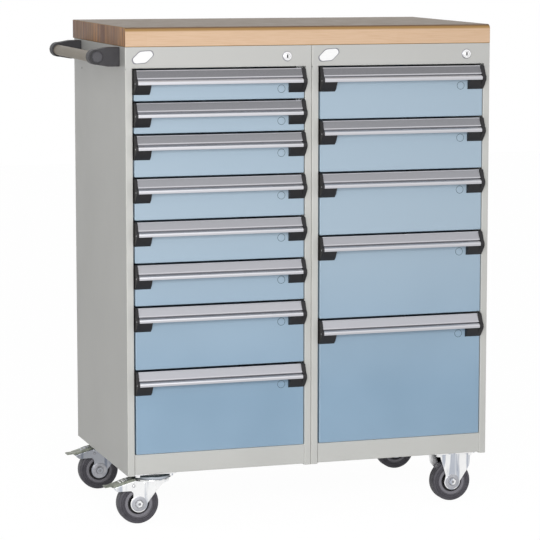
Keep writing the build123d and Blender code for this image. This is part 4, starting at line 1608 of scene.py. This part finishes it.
@dataclass
class SwivelCaster(Caster):
    """A braked swivel caster: plate with ball race, turning fork, pedal and wheel."""

    trail: float = 35.0
    race_radius: float = 50.0
    race_deep: float = 12.0
    gap: float = 0.4
    crown_radius: float = 38.0
    crown_high: float = 4.6
    pedal_slope: float = 0.342
    tab_slope: float = 0.09

    def build(self) -> None:
        """Make every part of the caster."""
        self.measure(Side.LEFT, "swivel_plates")
        self.pivot = self.x + self.trail
        self.mount("swivel", "swivel_plates", self.pivot)
        cup, r, deep = Shape(), self.race_radius, self.race_deep
        cup.turned([(0.0, 0.0), (0.0, r), (-3.0, r), (-4.4, r - 0.9), (-6.2, r - 0.5), (1.6 - deep, r - 0.9),
                    (-deep, r - 2.4), (-deep, 0.0)], (self.pivot, self.y, self.under), Way.Z, 72)
        cup.keep(f"{self.end.value}_swivel_race", [DARK_RACE])
        self.fork()
        self.pedal()
        Wheel(self.end, Side.LEFT).build()

    def fork(self) -> None:
        """The turning fork with its raised seat, ribs, rivets and axle."""
        body = f"{self.end.value}_swivel_fork"
        deck = self.under - self.race_deep - self.gap - self.crown_high
        rise = deck - self.z
        outline = [(-14, 27), (-19, 32), (-53, 32), (-60, 38), (-60, 42.3), (-41, 47.8), (-25, 52.8), (-8, rise),
                   (74, rise), (74, 52), (66, 49.5), (58, 45.5), (50, 38), (42, 28), *arc(self.boss, 0, -228.2, 24)]
        shape, seat = Shape(), Shape()
        self.legs(shape, rounded(self.at(outline), {0: 6.0, 1: 6.0, 2: 3.0, 3: 1.5, 4: 1.5, 6: 12.0, 9: 1.5}, 5))
        shape.block((self.x - 6, self.x + 69), (self.y - self.reach, self.y + self.reach), (deck - 3, deck))
        shape.keep(f"{self.end.value}_fork_legs", [CASTER_ZINC], body, [body], bevel=1.1, steps=3)
        r, high = self.crown_radius, self.crown_high
        seat.turned([(0.0, 0.0), (0.0, r), (1.4, r), (high - 1.0, r - 1.0), (high, r - 2.2), (high, 0.0)],
                    (self.pivot, self.y, deck), Way.Z, 64)
        self.ribs(seat, [((17, 22), (14, 50), 6.0), ((42, 31), (41, 53), 4.0)])
        self.axle(seat)
        for side in (-1, 1):
            spot = (self.x - 13, self.y + side * self.reach, self.z + 44.5)
            seat.finish = 0
            seat.turned([(-0.5, 0.0), (-0.5, 2.3), (0.9, 2.3), (1.3, 1.6), (1.3, 0.0)], spot, Way.Y, 20, side=side)
            # A darker ring round each rivet: painted shade.
            seat.finish = 1
            seat.turned([(-0.5, 2.3), (-0.5, 3.8), (0.35, 3.8), (0.35, 2.3)], spot, Way.Y, 20, closed=True,
                        side=side)
        seat.keep(f"{self.end.value}_fork_fittings", FITTINGS, body)

    def pedal(self) -> None:
        """The folded pedal with its foot tab, brake shoe and rivet."""
        body = f"{self.end.value}_brake_pedal"
        skin = [(-66, 42.5), (-66, 46), (-50, 50.5), (-31, 57), (-14, 60.4), (-8, 60), (-8, 50.6), (-20, 49.4),
                (-34, 46)]
        roof = [(-66.2, 44), (-66, 46), (-50, 50.5), (-31, 57), (-14, 60.4), (-8, 60), (-8, 58.2), (-14, 58.4),
                (-31, 55), (-50, 48.5)]
        tab = [(-82, 42.4), (-81.4, 44.6), (-66, 46), (-63, 46.8), (-63, 44.8), (-66, 43.8)]
        parts = [(0, skin, -16.5, -14.5), (0, skin, 14.5, 16.5), (0, roof, -14.6, 14.6), (0, tab, -13, 13)]
        for u in (-80, -76.2, -72.4):
            v = 44.6 + (u + 81.4) * self.tab_slope
            parts.append((0, [(u, v - 0.4), (u + 0.4, v + 0.5), (u + 1.6, v + 0.8), (u + 2.2, v)], -11.5, 11.5))
        # Three raised strips of bright zinc on the pedal's roof: a painted highlight.
        for u, wide in ((-45.5, 3.5), (-38, 6.0), (-29, 3.5)):
            v, rise = 50.5 + (u + 50) * self.pedal_slope, wide * self.pedal_slope
            parts.append((1, [(u, v - 0.6), (u - 0.3, v + 0.7), (u + wide - 0.3, v + 0.7 + rise),
                              (u + wide, v - 0.6 + rise)], -11, 11))
        shape, shoe, rivet = Shape(), Shape(), Shape()
        for shape.finish, outline, low, high in parts:
            shape.prism(self.at(outline), Way.Y, self.y + low, self.y + high)
        shape.keep(f"{body}_channel", [PEDAL_STEEL, CASTER_ZINC], body, [body], bevel=0.5)
        shoe.prism(self.at([(-44, 38.5), (-36, 41), (-36, 54.5), (-44, 51.5)]), Way.Y, self.y - 14.4,
                   self.y + 14.4)
        shoe.keep(f"{body}_shoe", [BLACK_NYLON], body, slot=False, bevel=0.8)
        rivet.turned(mirrored([(-21.6, 0.0), (-21.6, 2.2), (-20.9, 3.2), (-20.5, 3.2), (-20.5, 2.0)]),
                     (self.x - 14.0, self.y, self.z + 52.4), Way.Y, 24)
        rivet.keep(f"{body}_rivet", [CASTER_ZINC], body)


@dataclass
class RigidCaster(Caster):
    """A fixed caster: plate and fork in one pressing, axle and wheel."""

    def build(self) -> None:
        """Make the fork and the wheel."""
        self.measure(Side.RIGHT, "rigid_forks")
        self.mount("rigid", "rigid_forks", self.x)
        rise = self.under - self.z
        shape, fittings = Shape(), Shape()
        outline = self.at([(-17, 15), (-35, rise), (48, rise), (46.5, 42), (39, 27),
                           *arc(self.boss, 0, -180, 20)])
        self.legs(shape, rounded(outline, {0: 10.0, 3: 12.0, 4: 14.0}, 5))
        wing = self.at([(-12, 18), (-26, 20), (-45, 44), (-50, rise), (-12, rise)])
        shape.prism(rounded(wing, {1: 4.0, 2: 8.0}, 5), Way.Y, self.y + self.inner, self.y + self.reach)
        shape.keep(f"{self.end.value}_rigid_legs", [CASTER_ZINC], bevel=1.1, steps=3)
        self.ribs(fittings, [((-15, 26), (-22, 66), 6.0), ((14, 26), (16, 66), 2.6)])
        self.axle(fittings)
        fittings.keep(f"{self.end.value}_rigid_fittings", FITTINGS)
        Wheel(self.end, Side.RIGHT).build()


def dress_nodes() -> None:
    """Give the CAD nodes that stay their finish: slide members and lock bars."""
    for name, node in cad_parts.items():
        if "slide_m" in name or name.endswith("lock_bar"):
            node.data.materials.clear()
            node.data.materials.append(CASTER_ZINC.material())
            LOG.info("%s keeps its CAD shape", name)


def main() -> None:
    """Build the studio and the cabinet in order."""
    logging.basicConfig(level=logging.INFO, format="%(message)s")
    Studio().build()
    for bay in Bay:
        Housing(bay).build()
        Badge(bay).build()
        Lock(bay).build()
        for number in range(1, DRAWERS[bay] + 1):
            Drawer(bay, number).build()
            Pull(bay, number).build()
    Worktop().build()
    PushHandle().build()
    for end in End:
        SwivelCaster(end).build()
        RigidCaster(end).build()
    dress_nodes()


if __name__ == "__main__":
    main()
